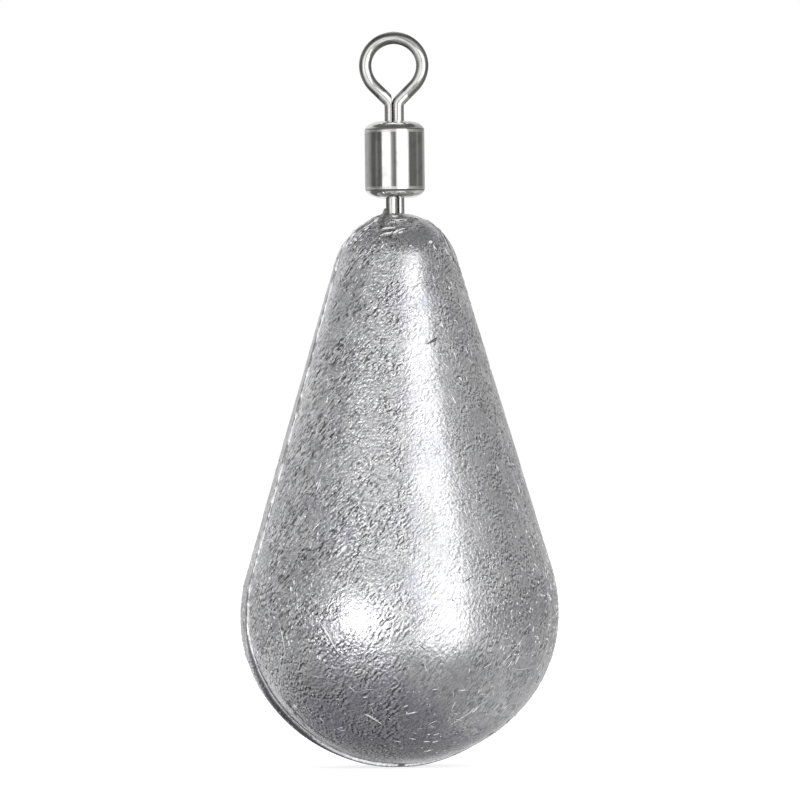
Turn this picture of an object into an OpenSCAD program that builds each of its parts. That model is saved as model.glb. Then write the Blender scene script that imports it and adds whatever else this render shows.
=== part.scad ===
// Pear-shaped fishing sinker, cast in lead around one eye of a barrel swivel.
// The origin is the centre of the line eye, +Z runs up the line, and the line eye lies in the XZ plane.

/* [Lead body] */
// Diameter of the casting at its belly
body_d = 19.25; // [18:0.05:26]
// Height of one half of the casting, from its base to the top of its nose
body_h = 33.5; // [27:0.1:50]
// Diameter of the round nose
nose_d = 7.6; // [6.4:0.1:12]
// How much smaller the radius of the lower belly is than the belly's
belly_tuck = 1.1; // [0.3:0.05:3]
// How much larger the radius of the base is than the belly's
base_flat = 0.25; // [0.05:0.05:5]
// Gap between the barrel's lower end and the nose
nose_gap = 0.88; // [0.5:0.01:1.6]

/* [Mould marks] */
// Angle from the line eye's plane to the parting plane of the mould
parting_turn = 16; // [0:1:90]
// How far the back half lies to the side of the front half
mismatch_side = 0.14; // [0:0.01:0.3]
// How far the back half lies below the front half
mismatch_drop = 0.22; // [0:0.01:0.4]
// How far the flash stands out along the parting line
flash_h = 0.09; // [0.04:0.01:0.3]
// Thickness of the flash
flash_t = 0.16; // [0.08:0.01:0.4]
// Diameter of the cut-off gate at its foot
gate_d = 2.4; // [2:0.1:4]
// Diameter of the gate's cut face
gate_top_d = 1.5; // [1.4:0.1:2]
// Height of the gate's cut face above the nose
gate_h = 0.05; // [0.02:0.01:0.4]

/* [Wire eyes] */
// Diameter of the wire
wire_d = 0.75; // [0.6:0.05:0.9]
// Outer diameter of each eye
eye_d = 4.2; // [3.4:0.1:6]
// Angle between the eye's straight flanks and the legs
flank_lean = 45; // [35:1:55]
// Radius of the bend from flank to leg, at the middle of the wire
bend_r = 0.5; // [0.45:0.05:0.8]
// Distance between the middles of the two legs, which are pressed together
leg_pitch = 0.42; // [0.3:0.02:0.56]
// Length of straight leg between the bend and the barrel
neck_h = 0.9; // [0.4:0.05:2]
// Diameter of the head that holds the legs in the barrel
head_d = 2.2; // [1.8:0.1:2.5]
// Height of the head's straight band
head_band_h = 0.25; // [0.1:0.05:0.5]
// Height of the head's rounded end
head_dome_h = 0.35; // [0.2:0.05:0.5]
// Angle from the line eye's plane to the anchor eye's plane
anchor_turn = 27; // [0:1:90]

/* [Barrel] */
// Outer diameter of the barrel
barrel_d = 3.65; // [3.4:0.05:5]
// Length of the barrel
barrel_h = 4.7; // [4:0.1:7]
// Wall of the barrel
barrel_wall = 0.35; // [0.32:0.01:0.45]
// Height of each rolled-in shoulder
shoulder_h = 0.7; // [0.5:0.05:0.95]
// Width of the flat rim round each mouth, and of the conical seat inside it
rim_w = 0.2; // [0.12:0.01:0.24]
// Rounding of the mouth's outer edge
lip_r = 0.08; // [0.04:0.01:0.1]

/* [Fits] */
// Radial running clearance of the legs in the barrel's mouths
mouth_clearance = 0.05; // [0.03:0.01:0.1]

/* [Hidden] */
// Steps round a full turn
$fn = 96;
// Angle between neighbouring points of an outline's arcs
arc_step = 5;
// How far a shape runs past the face where it is cut, or into the solid that it joins
overrun = 0.2;
// The same for an arc, as an angle
overrun_turn = 4;

// Wire eyes
wire_r = wire_d / 2;
ring_r = (eye_d - wire_d) / 2;
leg_x = leg_pitch / 2;
shank_r = leg_x + wire_r;
// Length of the straight flank between the ring and the bend
flank_l = (ring_r * cos(flank_lean) - leg_x - bend_r * (1 - cos(flank_lean))) / sin(flank_lean);
// Distance from the centre of the eye down to its straight legs
eye_drop = (ring_r + bend_r) * sin(flank_lean) + flank_l * cos(flank_lean);
head_r = head_d / 2;
// The head widens at 45 degrees, as the seat that carries it does
head_cone_h = head_r - shank_r;
head_dome_r = (pow(head_r, 2) + pow(head_dome_h, 2)) / (2 * head_dome_h);

// Barrel
barrel_r = barrel_d / 2;
bore_r = barrel_r - barrel_wall;
mouth_r = shank_r + mouth_clearance;
// Radius at which the flat rim passes into the shoulder
rim_r = mouth_r + rim_w;
shoulder_run = barrel_r - rim_r;
shoulder_r = (pow(shoulder_run, 2) + pow(shoulder_h, 2)) / (2 * shoulder_h);
shoulder_start = asin((shoulder_r - shoulder_h) / shoulder_r);
inner_shoulder_r = shoulder_r - barrel_wall;
inner_shoulder_start = acos((bore_r - rim_r) / inner_shoulder_r);
// Depth of the straight mouth, from the barrel's end to the conical seat
mouth_h = barrel_wall - rim_w;
leg_l = neck_h + mouth_h + head_cone_h;

// Heights along the line, measured from the centre of the line eye
barrel_top_z = -(eye_drop + neck_h);
barrel_mid_z = barrel_top_z - barrel_h / 2;
nose_z = barrel_top_z - barrel_h - nose_gap;
base_z = nose_z - body_h;

// Lead body
body_r = body_d / 2;
nose_r = nose_d / 2;
nose_mid_h = body_h - nose_r;
lower_belly_r = body_r - belly_tuck;
base_r = body_r + base_flat;
// Height of the widest ring, where base and lower belly run smoothly into each other
belly_h = base_r - sqrt(pow(base_flat + belly_tuck, 2) - pow(belly_tuck, 2));
base_meet = -acos(belly_tuck / (base_flat + belly_tuck));
// Slope of the flank, which touches both the belly and the nose
flank_slope = asin((body_r - nose_r) / (nose_mid_h - belly_h));
// Depth of the gate's foot below the top of the nose
gate_sink = nose_r - sqrt(pow(nose_r, 2) - pow(gate_d / 2, 2));

// Points of an arc round [x, z], from one angle to another
function arc(x, z, r, from, to) =
    let (steps = max(2, ceil(abs(to - from) / arc_step)))
    [for (i = [0:steps]) let (a = from + (to - from) * i / steps) [x + r * cos(a), z + r * sin(a)]];

// Right-hand outline of the casting from its base to its nose, moved outwards by grow
function pear_outline(grow = 0) = concat(
    arc(0, base_r, base_r + grow, -90, base_meet),
    arc(belly_tuck, belly_h, lower_belly_r + grow, base_meet, 0),
    arc(0, belly_h, body_r + grow, 0, flank_slope),
    arc(0, nose_mid_h, nose_r + grow, flank_slope, 90)
);

// Upper half of the barrel's wall, cut along its axis, from outside to inside
function barrel_outline() = concat(
    arc(rim_r, barrel_h / 2 - shoulder_r, shoulder_r, shoulder_start, 90),
    arc(mouth_r + lip_r, barrel_h / 2 - lip_r, lip_r, 90, 180),
    [[mouth_r, barrel_h / 2 - mouth_h]],
    arc(rim_r, barrel_h / 2 - shoulder_r, inner_shoulder_r, 90, inner_shoulder_start)
);

// One half of the casting, on the -Y side of its parting plane
module casting_half() {
    rotate([0, 0, 180])
        rotate_extrude(angle = 180)
            polygon(pear_outline());
}

// Thin fin of lead that ran into the joint of the mould
module flash() {
    right = pear_outline(flash_h);
    left = [for (i = [len(right) - 2:-1:1]) [-right[i].x, right[i].y]];
    rotate([90, 0, 0])
        linear_extrude(height = flash_t, center = true)
            polygon(concat(right, left));
}

// Stub that is left where the gate was cut off, round the anchor eye's legs
module gate_stub() {
    translate([0, 0, body_h - gate_sink - overrun])
        cylinder(h = overrun, d = gate_d);
    translate([0, 0, body_h - gate_sink])
        cylinder(h = gate_sink + gate_h, d1 = gate_d, d2 = gate_top_d);
}

// Ring, flank, bend and leg of the right-hand half of an eye, one running on from the other
module half_wire() {
    rotate([90, 0, 0]) rotate([0, 0, -flank_lean]) {
        // ring
        rotate_extrude(angle = 90 + flank_lean + overrun_turn)
            translate([ring_r, 0]) circle(r = wire_r);
        translate([ring_r, 0, 0]) {
            // flank
            rotate([90, 0, 0]) cylinder(h = flank_l, r = wire_r);
            translate([bend_r, -flank_l, 0]) {
                // bend
                rotate([0, 0, 180])
                    rotate_extrude(angle = flank_lean)
                        translate([bend_r, 0]) circle(r = wire_r);
                // leg
                rotate([0, 0, flank_lean])
                    translate([-bend_r, 0, 0])
                        rotate([90, 0, 0]) cylinder(h = leg_l, r = wire_r);
            }
        }
    }
}

// The half that stays on its own side, with a flat where its leg is pressed against the other
module half_eye() {
    intersection() {
        half_wire();
        translate([0, -eye_d, -eye_drop - leg_l - eye_d])
            cube([eye_d, 2 * eye_d, eye_drop + leg_l + 2 * eye_d]);
    }
}

// Head formed on the ends of the legs, with its top at z = 0
module head() {
    band_z = -head_cone_h - head_band_h;
    dome_z = band_z - head_dome_h + head_dome_r;
    rotate_extrude()
        polygon(concat(
            [[0, 0], [shank_r, 0], [head_r, -head_cone_h]],
            arc(0, dome_z, head_dome_r, asin((band_z - dome_z) / head_dome_r), -90)
        ));
}

// One whole wire eye, hanging from its centre
module wire_eye() {
    half_eye();
    mirror([1, 0, 0]) half_eye();
    translate([0, 0, barrel_top_z - mouth_h]) head();
}

module line_eye() {
    color("gainsboro") wire_eye();
}

// The same eye the other way up, at the barrel's lower end
module anchor_eye() {
    color("gainsboro")
        translate([0, 0, 2 * barrel_mid_z])
            rotate([180, 0, anchor_turn]) wire_eye();
}

module swivel_barrel() {
    upper = barrel_outline();
    lower = [for (i = [len(upper) - 1:-1:0]) [upper[i].x, -upper[i].y]];
    color("silver")
        translate([0, 0, barrel_mid_z])
            rotate_extrude() polygon(concat(upper, lower));
}

module lead_body() {
    color("darkgray")
        difference() {
            translate([0, 0, base_z])
                rotate([0, 0, parting_turn]) {
                    translate([mismatch_side / 2, 0, 0]) casting_half();
                    translate([-mismatch_side / 2, 0, -mismatch_drop])
                        rotate([0, 0, 180]) casting_half();
                    translate([0, 0, -mismatch_drop / 2]) flash();
                    gate_stub();
                }
            anchor_eye();
        }
}

lead_body();
anchor_eye();
swivel_barrel();
line_eye();
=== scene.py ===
import math

import bmesh
import bpy
import numpy as np
from mathutils import Matrix, Vector


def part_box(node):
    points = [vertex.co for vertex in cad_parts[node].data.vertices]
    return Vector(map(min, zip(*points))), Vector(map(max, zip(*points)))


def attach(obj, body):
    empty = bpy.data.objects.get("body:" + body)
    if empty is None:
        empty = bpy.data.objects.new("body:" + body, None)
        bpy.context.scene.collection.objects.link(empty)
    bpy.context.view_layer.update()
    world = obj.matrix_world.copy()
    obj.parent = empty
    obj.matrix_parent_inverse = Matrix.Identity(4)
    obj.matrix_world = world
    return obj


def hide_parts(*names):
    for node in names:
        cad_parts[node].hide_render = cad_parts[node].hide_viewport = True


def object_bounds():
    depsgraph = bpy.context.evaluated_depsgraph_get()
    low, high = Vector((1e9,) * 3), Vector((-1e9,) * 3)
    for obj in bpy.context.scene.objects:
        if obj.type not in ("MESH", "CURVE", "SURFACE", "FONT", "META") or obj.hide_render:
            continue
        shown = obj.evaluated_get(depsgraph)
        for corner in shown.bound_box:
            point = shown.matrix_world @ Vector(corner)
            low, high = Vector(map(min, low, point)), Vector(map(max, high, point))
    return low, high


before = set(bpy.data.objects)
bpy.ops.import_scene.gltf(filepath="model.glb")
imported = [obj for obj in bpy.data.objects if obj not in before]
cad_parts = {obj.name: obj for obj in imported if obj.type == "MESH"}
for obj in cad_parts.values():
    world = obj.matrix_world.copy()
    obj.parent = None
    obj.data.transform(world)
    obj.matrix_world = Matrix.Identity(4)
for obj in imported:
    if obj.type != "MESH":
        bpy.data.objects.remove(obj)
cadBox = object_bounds()
mm = 0.001               # the pieces are laid out in millimetres
scene = bpy.context.scene
leadLow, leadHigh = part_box("lead_body")
barrelLow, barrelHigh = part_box("swivel_barrel")


# Small helpers for node trees and meshes

def addNode(tree, kind, values=None, **settings):
    made = tree.nodes.new(kind)
    for name, value in settings.items():
        setattr(made, name, value)
    for key, value in (values or {}).items():
        if isinstance(value, bpy.types.NodeSocket):
            tree.links.new(value, made.inputs[key])
        else:
            made.inputs[key].default_value = value
    return made


def calc(tree, operation, first, second=0.0, third=0.0, clamp=False):
    values = {0: first, 1: second}
    if operation == "MULTIPLY_ADD":
        values[2] = third
    return addNode(tree, "ShaderNodeMath", values, operation=operation, use_clamp=clamp).outputs[0]


def scaledBy(tree, vector, factor):
    return addNode(tree, "ShaderNodeVectorMath", {0: vector, "Scale": factor}, operation="SCALE").outputs[0]


def axesOf(tree, vector):
    return addNode(tree, "ShaderNodeSeparateXYZ", {0: vector}).outputs


def remap(tree, value, low, high, toLow, toHigh, ease="LINEAR"):
    values = {"Value": value, "From Min": low, "From Max": high, "To Min": toLow, "To Max": toHigh}
    return addNode(tree, "ShaderNodeMapRange", values, interpolation_type=ease).outputs[0]


def blendColour(tree, share, under, over, mode="MIX"):
    made = addNode(tree, "ShaderNodeMix", data_type="RGBA", blend_type=mode)
    for socket, value in ((made.inputs[0], share), (made.inputs[6], under), (made.inputs[7], over)):
        if isinstance(value, bpy.types.NodeSocket):
            tree.links.new(value, socket)
        else:
            socket.default_value = value if isinstance(value, float) else (*value, 1.0)
    return made.outputs[2]


def rampOf(tree, value, stops, ease="LINEAR"):
    made = addNode(tree, "ShaderNodeValToRGB", {0: value})
    ramp = made.color_ramp
    ramp.interpolation = ease
    while len(ramp.elements) < len(stops):
        ramp.elements.new(0.5)
    for element, (place, level) in zip(ramp.elements, stops):
        element.position = place
        element.color = (*level, 1.0) if isinstance(level, tuple) else (level, level, level, 1.0)
    return made.outputs[0]


def newMaterial(name):
    material = bpy.data.materials.new(name)
    material.use_nodes = True
    tree = material.node_tree
    return material, tree, tree.nodes["Principled BSDF"]


def millimetreSpace(tree, attribute=None):
    if attribute:
        return addNode(tree, "ShaderNodeAttribute", attribute_name=attribute).outputs["Vector"]
    return scaledBy(tree, addNode(tree, "ShaderNodeTexCoord").outputs["Object"], 1 / mm)


def stretched(tree, space, turn, perMillimetre):
    # turned first, then scaled, so that a pattern runs along the turned z axis
    size = tuple(1 / part for part in perMillimetre)
    values = {"Vector": space, "Rotation": turn, "Scale": size}
    return addNode(tree, "ShaderNodeMapping", values, vector_type="TEXTURE").outputs[0]


def noiseOf(tree, space, scale, detail=2.0, rough=0.5, distortion=0.0):
    return addNode(tree, "ShaderNodeTexNoise", {
        "Vector": space, "Scale": scale, "Detail": detail, "Roughness": rough,
        "Distortion": distortion}).outputs[0]


def newPiece(name, points, faces, material=None, attributes=None):
    mesh = bpy.data.meshes.new(name)
    mesh.from_pydata((np.asarray(points, float) * mm).tolist(), [], faces)
    for key, numbers in (attributes or {}).items():
        layer = mesh.attributes.new(key, "FLOAT", "POINT")
        layer.data.foreach_set("value", np.asarray(numbers, np.float32))
    work = bmesh.new()
    work.from_mesh(mesh)
    bmesh.ops.recalc_face_normals(work, faces=work.faces)
    work.to_mesh(mesh)
    work.free()
    mesh.shade_smooth()
    if material:
        mesh.materials.append(material)
    made = bpy.data.objects.new(name, mesh)
    scene.collection.objects.link(made)
    return made


def newTree(name, sockets):
    tree = bpy.data.node_groups.new(name, "GeometryNodeTree")
    tree.interface.new_socket("Geometry", in_out="INPUT", socket_type="NodeSocketGeometry")
    for label, kind in sockets:
        tree.interface.new_socket(label, in_out="INPUT", socket_type="NodeSocket" + kind)
    tree.interface.new_socket("Geometry", in_out="OUTPUT", socket_type="NodeSocketGeometry")
    return tree, tree.nodes.new("NodeGroupInput").outputs


def endTree(tree, geometry, metal):
    smooth = addNode(tree, "GeometryNodeSetShadeSmooth", {"Geometry": geometry}).outputs[0]
    real = addNode(tree, "GeometryNodeRealizeInstances", {"Geometry": smooth}).outputs[0]
    dressed = addNode(tree, "GeometryNodeSetMaterial", {"Geometry": real, "Material": metal}).outputs[0]
    tree.links.new(dressed, tree.nodes.new("NodeGroupOutput").inputs[0])


def runTree(made, tree, values, name=None):
    modifier = made.modifiers.new(tree.name, "NODES")
    modifier.node_group = tree
    for item in tree.interface.items_tree:
        if item.item_type == "SOCKET" and item.in_out == "INPUT" and item.name in values:
            modifier[item.identifier] = values[item.name]
    seen = made.evaluated_get(bpy.context.evaluated_depsgraph_get())
    mesh = bpy.data.meshes.new_from_object(seen)
    made.modifiers.remove(modifier)
    if made.type == "MESH":
        made.data = mesh
        return made
    piece = bpy.data.objects.new(name, mesh)
    scene.collection.objects.link(piece)
    bpy.data.objects.remove(made)
    return piece


def pathCurve(name, runs, radii=None):
    curve = bpy.data.curves.new(name, "CURVE")
    curve.dimensions = "3D"
    for index, run in enumerate(runs):
        spline = curve.splines.new("POLY")
        spline.points.add(len(run) - 1)
        for number, (point, place) in enumerate(zip(spline.points, run)):
            point.co = (*(Vector(place) * mm), 1.0)
            point.radius = radii[index][number] if radii else 1.0
    made = bpy.data.objects.new(name, curve)
    scene.collection.objects.link(made)
    return made


def ease(value, low, high):
    share = np.clip((value - low) / (high - low), 0, 1)
    return share * share * (3 - 2 * share)


# Camera: a long lens, level with the middle of the sinker, as in the photograph

camera = {
    "lens": 500.0,
    "pixelsPerMillimetre": 16.44,
    "frameSide": 800,
    "eyePixel": (393.7, 66.1),       # where the middle of the line eye stands in the picture
    "lean": math.radians(0.62),      # the picture shows the sinker hanging this far off upright
}


def makeCamera(view):
    data = bpy.data.cameras.new("camera")
    data.lens = view["lens"]
    sideSeen = view["frameSide"] / view["pixelsPerMillimetre"] * mm
    distance = sideSeen * data.lens / data.sensor_width
    across = (view["eyePixel"][0] - view["frameSide"] / 2) / view["pixelsPerMillimetre"] * mm
    up = (view["frameSide"] / 2 - view["eyePixel"][1]) / view["pixelsPerMillimetre"] * mm
    turn = Matrix.Rotation(math.radians(90), 4, "X") @ Matrix.Rotation(-view["lean"], 4, "Z")
    place = turn @ Vector((-across, -up, distance))
    made = bpy.data.objects.new("camera", data)
    made.matrix_world = Matrix.Translation(place) @ turn
    data.clip_start, data.clip_end = 0.05, 20.0
    scene.collection.objects.link(made)
    scene.camera = made


makeCamera(camera)


# Metals

leadMetal = {
    "darkTone": (0.51, 0.512, 0.53),
    "lightTone": (0.63, 0.63, 0.64),
    "coolTone": (0.46, 0.452, 0.54),
    # the dark tone stands for grime and for painted shade, the pale one for rubbing and for painted
    # highlight
    "grimeAndShadeTone": (0.10, 0.10, 0.105),
    "rubAndHighlightTone": (0.88, 0.88, 0.885),
    "metalShare": 0.8,               # the rest is the grey skin of oxide
    "broadPerMillimetre": 0.55,
    "patchesPerMillimetre": 0.30,
    "busyPerMillimetre": 0.9,
    "clumpsPerMillimetre": 1.7,
    "pebblesPerMillimetre": 5.2,
    "streaksPerMillimetre": (6.5, 6.5, 2.2),
    "streakTurn": (0.0, 1.02, -0.4),         # streaks and strokes lean to the right
    "strokesPerMillimetre": (5.8, 5.8, 2.3),
    "strokeTurn": (0.0, 0.72, -0.4),
    "strokeFlank": (-0.032, 0.0, 0.028),     # mm, from a stroke's middle to its light side
    # painted highlight and painted shade on the two flanks of each stroke
    "strokeHighlight": 0.85,
    "strokeShade": 0.95,
    "grainPerMillimetre": 7.5,
    "grainHeight": 0.09,             # mm
    # pale tips and dark hollows of the relief: partly rubbing and grime, partly painted glints and painted
    # shade
    "tipRubAndHighlight": 0.18,
    "hollowGrimeAndShade": 0.28,
    "flecksPerMillimetre": 2.5,
    "fleckShine": 0.75,
    "brushLinesPerMillimetre": (2.8, 2.8, 0.4),
    "brushLineTurn": (0.0, 0.12, 0.0),
    "smoothRoughness": 0.20,
    "roughRoughness": 0.34,
}


def strokeNoise(tree, space, look):
    # slanting strokes read on both their flanks: the strokes themselves, and which flank is the higher
    flanks = []
    for side in (-1, 1):
        aside = tuple(side * part for part in look["strokeFlank"])
        moved = addNode(tree, "ShaderNodeVectorMath", {0: space, 1: aside}, operation="ADD").outputs[0]
        moved = stretched(tree, moved, look["strokeTurn"], look["strokesPerMillimetre"])
        flanks.append(noiseOf(tree, moved, 1.0, 2.0, 0.55, 0.5))
    return calc(tree, "MULTIPLY", calc(tree, "ADD", *flanks), 0.5), calc(tree, "SUBTRACT", *flanks)


def leadRelief(tree, space, look, fine, strokes):
    # pebbles with fine grain and strokes on them
    pebbles = addNode(tree, "ShaderNodeTexVoronoi", {
        "Vector": space, "Scale": look["pebblesPerMillimetre"], "Smoothness": 0.3}, feature="SMOOTH_F1")
    relief = calc(tree, "MULTIPLY_ADD", pebbles.outputs[0], -0.4, calc(tree, "MULTIPLY", fine, 0.4))
    return calc(tree, "ADD", relief, remap(tree, strokes, 0.46, 0.54, 0.0, 0.16))


def leadBump(tree, space, look, relief, patches, strength):
    # the relief with streaks, which come and go in patches, and with clumps
    streaks = stretched(tree, space, look["streakTurn"], look["streaksPerMillimetre"])
    streaks = noiseOf(tree, streaks, 1.0, 1.0, 0.5, 0.4)
    clumps = noiseOf(tree, space, look["clumpsPerMillimetre"], 1.0, 0.5)
    height = calc(tree, "MULTIPLY_ADD", streaks, remap(tree, patches, 0.42, 0.58, 0.1, 0.5), relief)
    height = calc(tree, "MULTIPLY_ADD", clumps, 0.4, height)
    return addNode(tree, "ShaderNodeBump", {
        "Strength": strength, "Distance": look["grainHeight"] * mm, "Height": height}).outputs[0]


def skinTone(tree, space, look, relief, patches, strength):
    # light, dark and cool patches, with pale tips and dark hollows: partly rubbing and grime, partly painted
    # glints and painted shade
    broad = noiseOf(tree, space, look["broadPerMillimetre"], 3.0, 0.6)
    tone = blendColour(tree, remap(tree, broad, 0.3, 0.7, 0.0, 1.0), look["darkTone"], look["lightTone"])
    tone = blendColour(tree, remap(tree, patches, 0.48, 0.66, 0.0, 0.5), tone, look["coolTone"])
    speckle = calc(tree, "MAXIMUM", strength, 0.7)
    tip = calc(tree, "MULTIPLY", remap(tree, relief, 0.12, 0.26, 0.0, look["tipRubAndHighlight"]), speckle)
    hollow = calc(tree, "MULTIPLY", remap(tree, relief, -0.06, 0.06, look["hollowGrimeAndShade"], 0.0), speckle)
    tone = blendColour(tree, tip, tone, look["rubAndHighlightTone"])
    return blendColour(tree, hollow, tone, look["grimeAndShadeTone"])


def strokeTone(tree, space, look, tone, grain, emboss):
    # each stroke has a painted lit flank and a painted shaded one, the more so where the skin is busy
    busy = remap(tree, noiseOf(tree, space, look["busyPerMillimetre"], 2.0, 0.5), 0.40, 0.56, 0.28, 1.05)
    busy = calc(tree, "MULTIPLY", busy, remap(tree, grain, 0.15, 0.6, 0.35, 1.0))
    shine = calc(tree, "MULTIPLY", remap(tree, emboss, 0.02, 0.12, 0.0, look["strokeHighlight"]), busy)
    shade = calc(tree, "MULTIPLY", remap(tree, emboss, -0.12, -0.02, look["strokeShade"], 0.0), busy)
    tone = blendColour(tree, shine, tone, look["rubAndHighlightTone"])
    return blendColour(tree, shade, tone, look["grimeAndShadeTone"])


def wornTone(tree, space, look, tone, grimeAndShade, rubAndHighlight, brushed):
    # scattered flecks and brush lines, then the grime and rubbing, with painted shade and painted light,
    # that the mesh carries
    cells = addNode(tree, "ShaderNodeTexVoronoi", {"Vector": space, "Scale": look["flecksPerMillimetre"]})
    chosen = remap(tree, axesOf(tree, cells.outputs["Color"])[0], 0.55, 0.75, 0.0, look["fleckShine"])
    fleck = calc(tree, "MULTIPLY", remap(tree, cells.outputs["Distance"], 0.12, 0.26, 1.0, 0.0), chosen)
    tone = blendColour(tree, fleck, tone, look["rubAndHighlightTone"])
    lines = stretched(tree, space, look["brushLineTurn"], look["brushLinesPerMillimetre"])
    lines = remap(tree, noiseOf(tree, lines, 1.0, 2.0, 0.6), 0.5, 0.62, 0.0, 0.7)
    tone = blendColour(tree, calc(tree, "MULTIPLY", lines, brushed), tone, look["rubAndHighlightTone"])
    tone = blendColour(tree, calc(tree, "MULTIPLY", grimeAndShade, 0.85, clamp=True), tone, look["grimeAndShadeTone"])
    return blendColour(tree, calc(tree, "MULTIPLY", rubAndHighlight, 0.8, clamp=True), tone, look["rubAndHighlightTone"])


def castLead(look):
    material, tree, shader = newMaterial("cast_lead_skin")
    space = millimetreSpace(tree)
    grain, grimeAndShade, rubAndHighlight, brushed = (addNode(tree, "ShaderNodeAttribute", attribute_name=name).outputs["Fac"]
                                  for name in ("grain", "grimeAndShade", "rubAndHighlight", "brushed"))
    fine = noiseOf(tree, space, look["grainPerMillimetre"], 1.0, 0.5)
    patches = noiseOf(tree, space, look["patchesPerMillimetre"], 2.0, 0.5)
    strength = calc(tree, "MULTIPLY", grain, remap(tree, patches, 0.35, 0.65, 0.75, 1.0))
    strokes, emboss = strokeNoise(tree, space, look)
    relief = leadRelief(tree, space, look, fine, strokes)
    tone = skinTone(tree, space, look, relief, patches, strength)
    tone = strokeTone(tree, space, look, tone, grain, emboss)
    tone = wornTone(tree, space, look, tone, grimeAndShade, rubAndHighlight, brushed)
    rough = remap(tree, fine, 0.3, 0.7, look["smoothRoughness"], look["roughRoughness"])
    rough = calc(tree, "MULTIPLY", rough, remap(tree, grain, 0.2, 0.7, 0.8, 1.0))
    rough = calc(tree, "MULTIPLY_ADD", grimeAndShade, 0.3, rough)
    rough = calc(tree, "MULTIPLY_ADD", rubAndHighlight, -0.08, rough, clamp=True)
    shader.inputs["Metallic"].default_value = look["metalShare"]
    tree.links.new(tone, shader.inputs["Base Color"])
    tree.links.new(rough, shader.inputs["Roughness"])
    tree.links.new(leadBump(tree, space, look, relief, patches, strength), shader.inputs["Normal"])
    return material


wireMetal = {
    "tone": (0.80, 0.795, 0.78),
    "dullAndShadeShare": 0.31,               # share of the tone left where it is darkened: real dull spots, painted shade on the wire's sides, painted dark reflection on the barrel's ends
    "roughness": 0.26,
    "linesPerMillimetre": (7.0, 7.0, 0.4),
    "lineDepth": 0.0003,             # mm
    "spotsPerMillimetre": 1.6,
}
barrelMetal = {
    "tone": (0.79, 0.785, 0.775),
    "dullAndShadeShare": 0.31,
    "roughness": 0.07,
    "linesPerMillimetre": (0.5, 0.5, 3.0),
    "lineDepth": 0.0002,
    "spotsPerMillimetre": 1.6,
    # heights of the dark lines painted on the rolled ends, a painted dark reflection
    "rolledAt": (barrelHigh.z / mm - 0.51, barrelLow.z / mm + 0.49),
}


def drawnNickel(name, look, attribute=None):
    material, tree, shader = newMaterial(name)
    space = millimetreSpace(tree, attribute)
    lines = noiseOf(tree, stretched(tree, space, (0, 0, 0), look["linesPerMillimetre"]), 1.0, 3.0, 0.55)
    spots = noiseOf(tree, space, look["spotsPerMillimetre"], 1.0, 0.5)
    depth = look["lineDepth"] * mm
    bump = addNode(tree, "ShaderNodeBump", {"Strength": 1.0, "Distance": depth, "Height": lines})
    dullAndShade = remap(tree, spots, 0.52, 0.75, 0.0, 0.35)
    if attribute:                    # painted shade inside and outside the bend, painted highlight on the faces
        face = addNode(tree, "ShaderNodeAttribute", attribute_name="paintedHighlightShare").outputs["Fac"]
        face = calc(tree, "MULTIPLY_ADD", calc(tree, "SUBTRACT", spots, 0.5), 0.5, face)
        dullAndShade = calc(tree, "MAXIMUM", dullAndShade, remap(tree, face, 0.30, 0.88, 1.0, 0.0, "SMOOTHSTEP"))
    # painted dark lines round the rolled ends, for the dark reflection there
    for height in look.get("rolledAt", ()):
        away = calc(tree, "ABSOLUTE", calc(tree, "SUBTRACT", axesOf(tree, space)[2], height))
        away = calc(tree, "MULTIPLY_ADD", spots, 0.04, away)
        dullAndShade = calc(tree, "MAXIMUM", dullAndShade, remap(tree, away, 0.045, 0.085, 1.0, 0.0, "SMOOTHSTEP"))
    colour = blendColour(tree, dullAndShade, look["tone"], tuple(part * look["dullAndShadeShare"] for part in look["tone"]))
    rough = remap(tree, lines, 0.35, 0.65, look["roughness"] * 0.75, look["roughness"] * 1.25)
    rough = calc(tree, "MULTIPLY_ADD", dullAndShade, 0.1, rough, clamp=True)
    shader.inputs["Metallic"].default_value = 1.0
    tree.links.new(colour, shader.inputs["Base Color"])
    tree.links.new(rough, shader.inputs["Roughness"])
    tree.links.new(bump.outputs[0], shader.inputs["Normal"])
    return material


leadSkin = castLead(leadMetal)
wireNickel = drawnNickel("drawn_wire_nickel", wireMetal, "wireSpace")
barrelNickel = drawnNickel("barrel_nickel", barrelMetal)
print("metals ready")


# The lead: a pear of two mould halves that don't quite meet, with its seam, gate and knocks

lead = {
    "bodyDiameter": 19.25,
    "height": 33.5,
    "noseDiameter": 7.6,
    "bellyTuck": 1.1,
    "baseFlat": 0.25,
    "partingTurn": 16.0,             # degrees, left edge towards the viewer
    "sideMismatch": 0.14,
    "dropMismatch": 0.22,
    "seamStep": 0.03,                # half the width of the step at the seam
    "seamOffsets": (0.0, 0.03, 0.07, 0.12, 0.18, 0.25, 0.34, 0.45, 0.6),
    "columnsPerHalf": 187,
    "rowPitch": {"base": 0.28, "belly": 0.19, "flank": 0.2, "shoulder": 0.11, "crown": 0.055},
    "crownAngle": 62.0,
}
bodyRadius = lead["bodyDiameter"] / 2
noseRadius = lead["noseDiameter"] / 2
lowerRadius = bodyRadius - lead["bellyTuck"]
baseRadius = bodyRadius + lead["baseFlat"]
bellyHeight = baseRadius - math.sqrt((baseRadius - lowerRadius) ** 2 - lead["bellyTuck"] ** 2)
noseHeight = lead["height"] - noseRadius
flankSlope = math.degrees(math.asin((bodyRadius - noseRadius) / (noseHeight - bellyHeight)))
baseMeet = -math.degrees(math.acos(lead["bellyTuck"] / (baseRadius - lowerRadius)))
leadBase = leadLow.z / mm + lead["dropMismatch"]      # the front half's base; the back half hangs lower
leadTurn = math.radians(lead["partingTurn"])
seamAxis = np.array((math.cos(leadTurn), math.sin(leadTurn), 0.0))      # along the seam, to the right
frontAxis = np.array((math.sin(leadTurn), -math.cos(leadTurn), 0.0))    # towards the viewer


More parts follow.
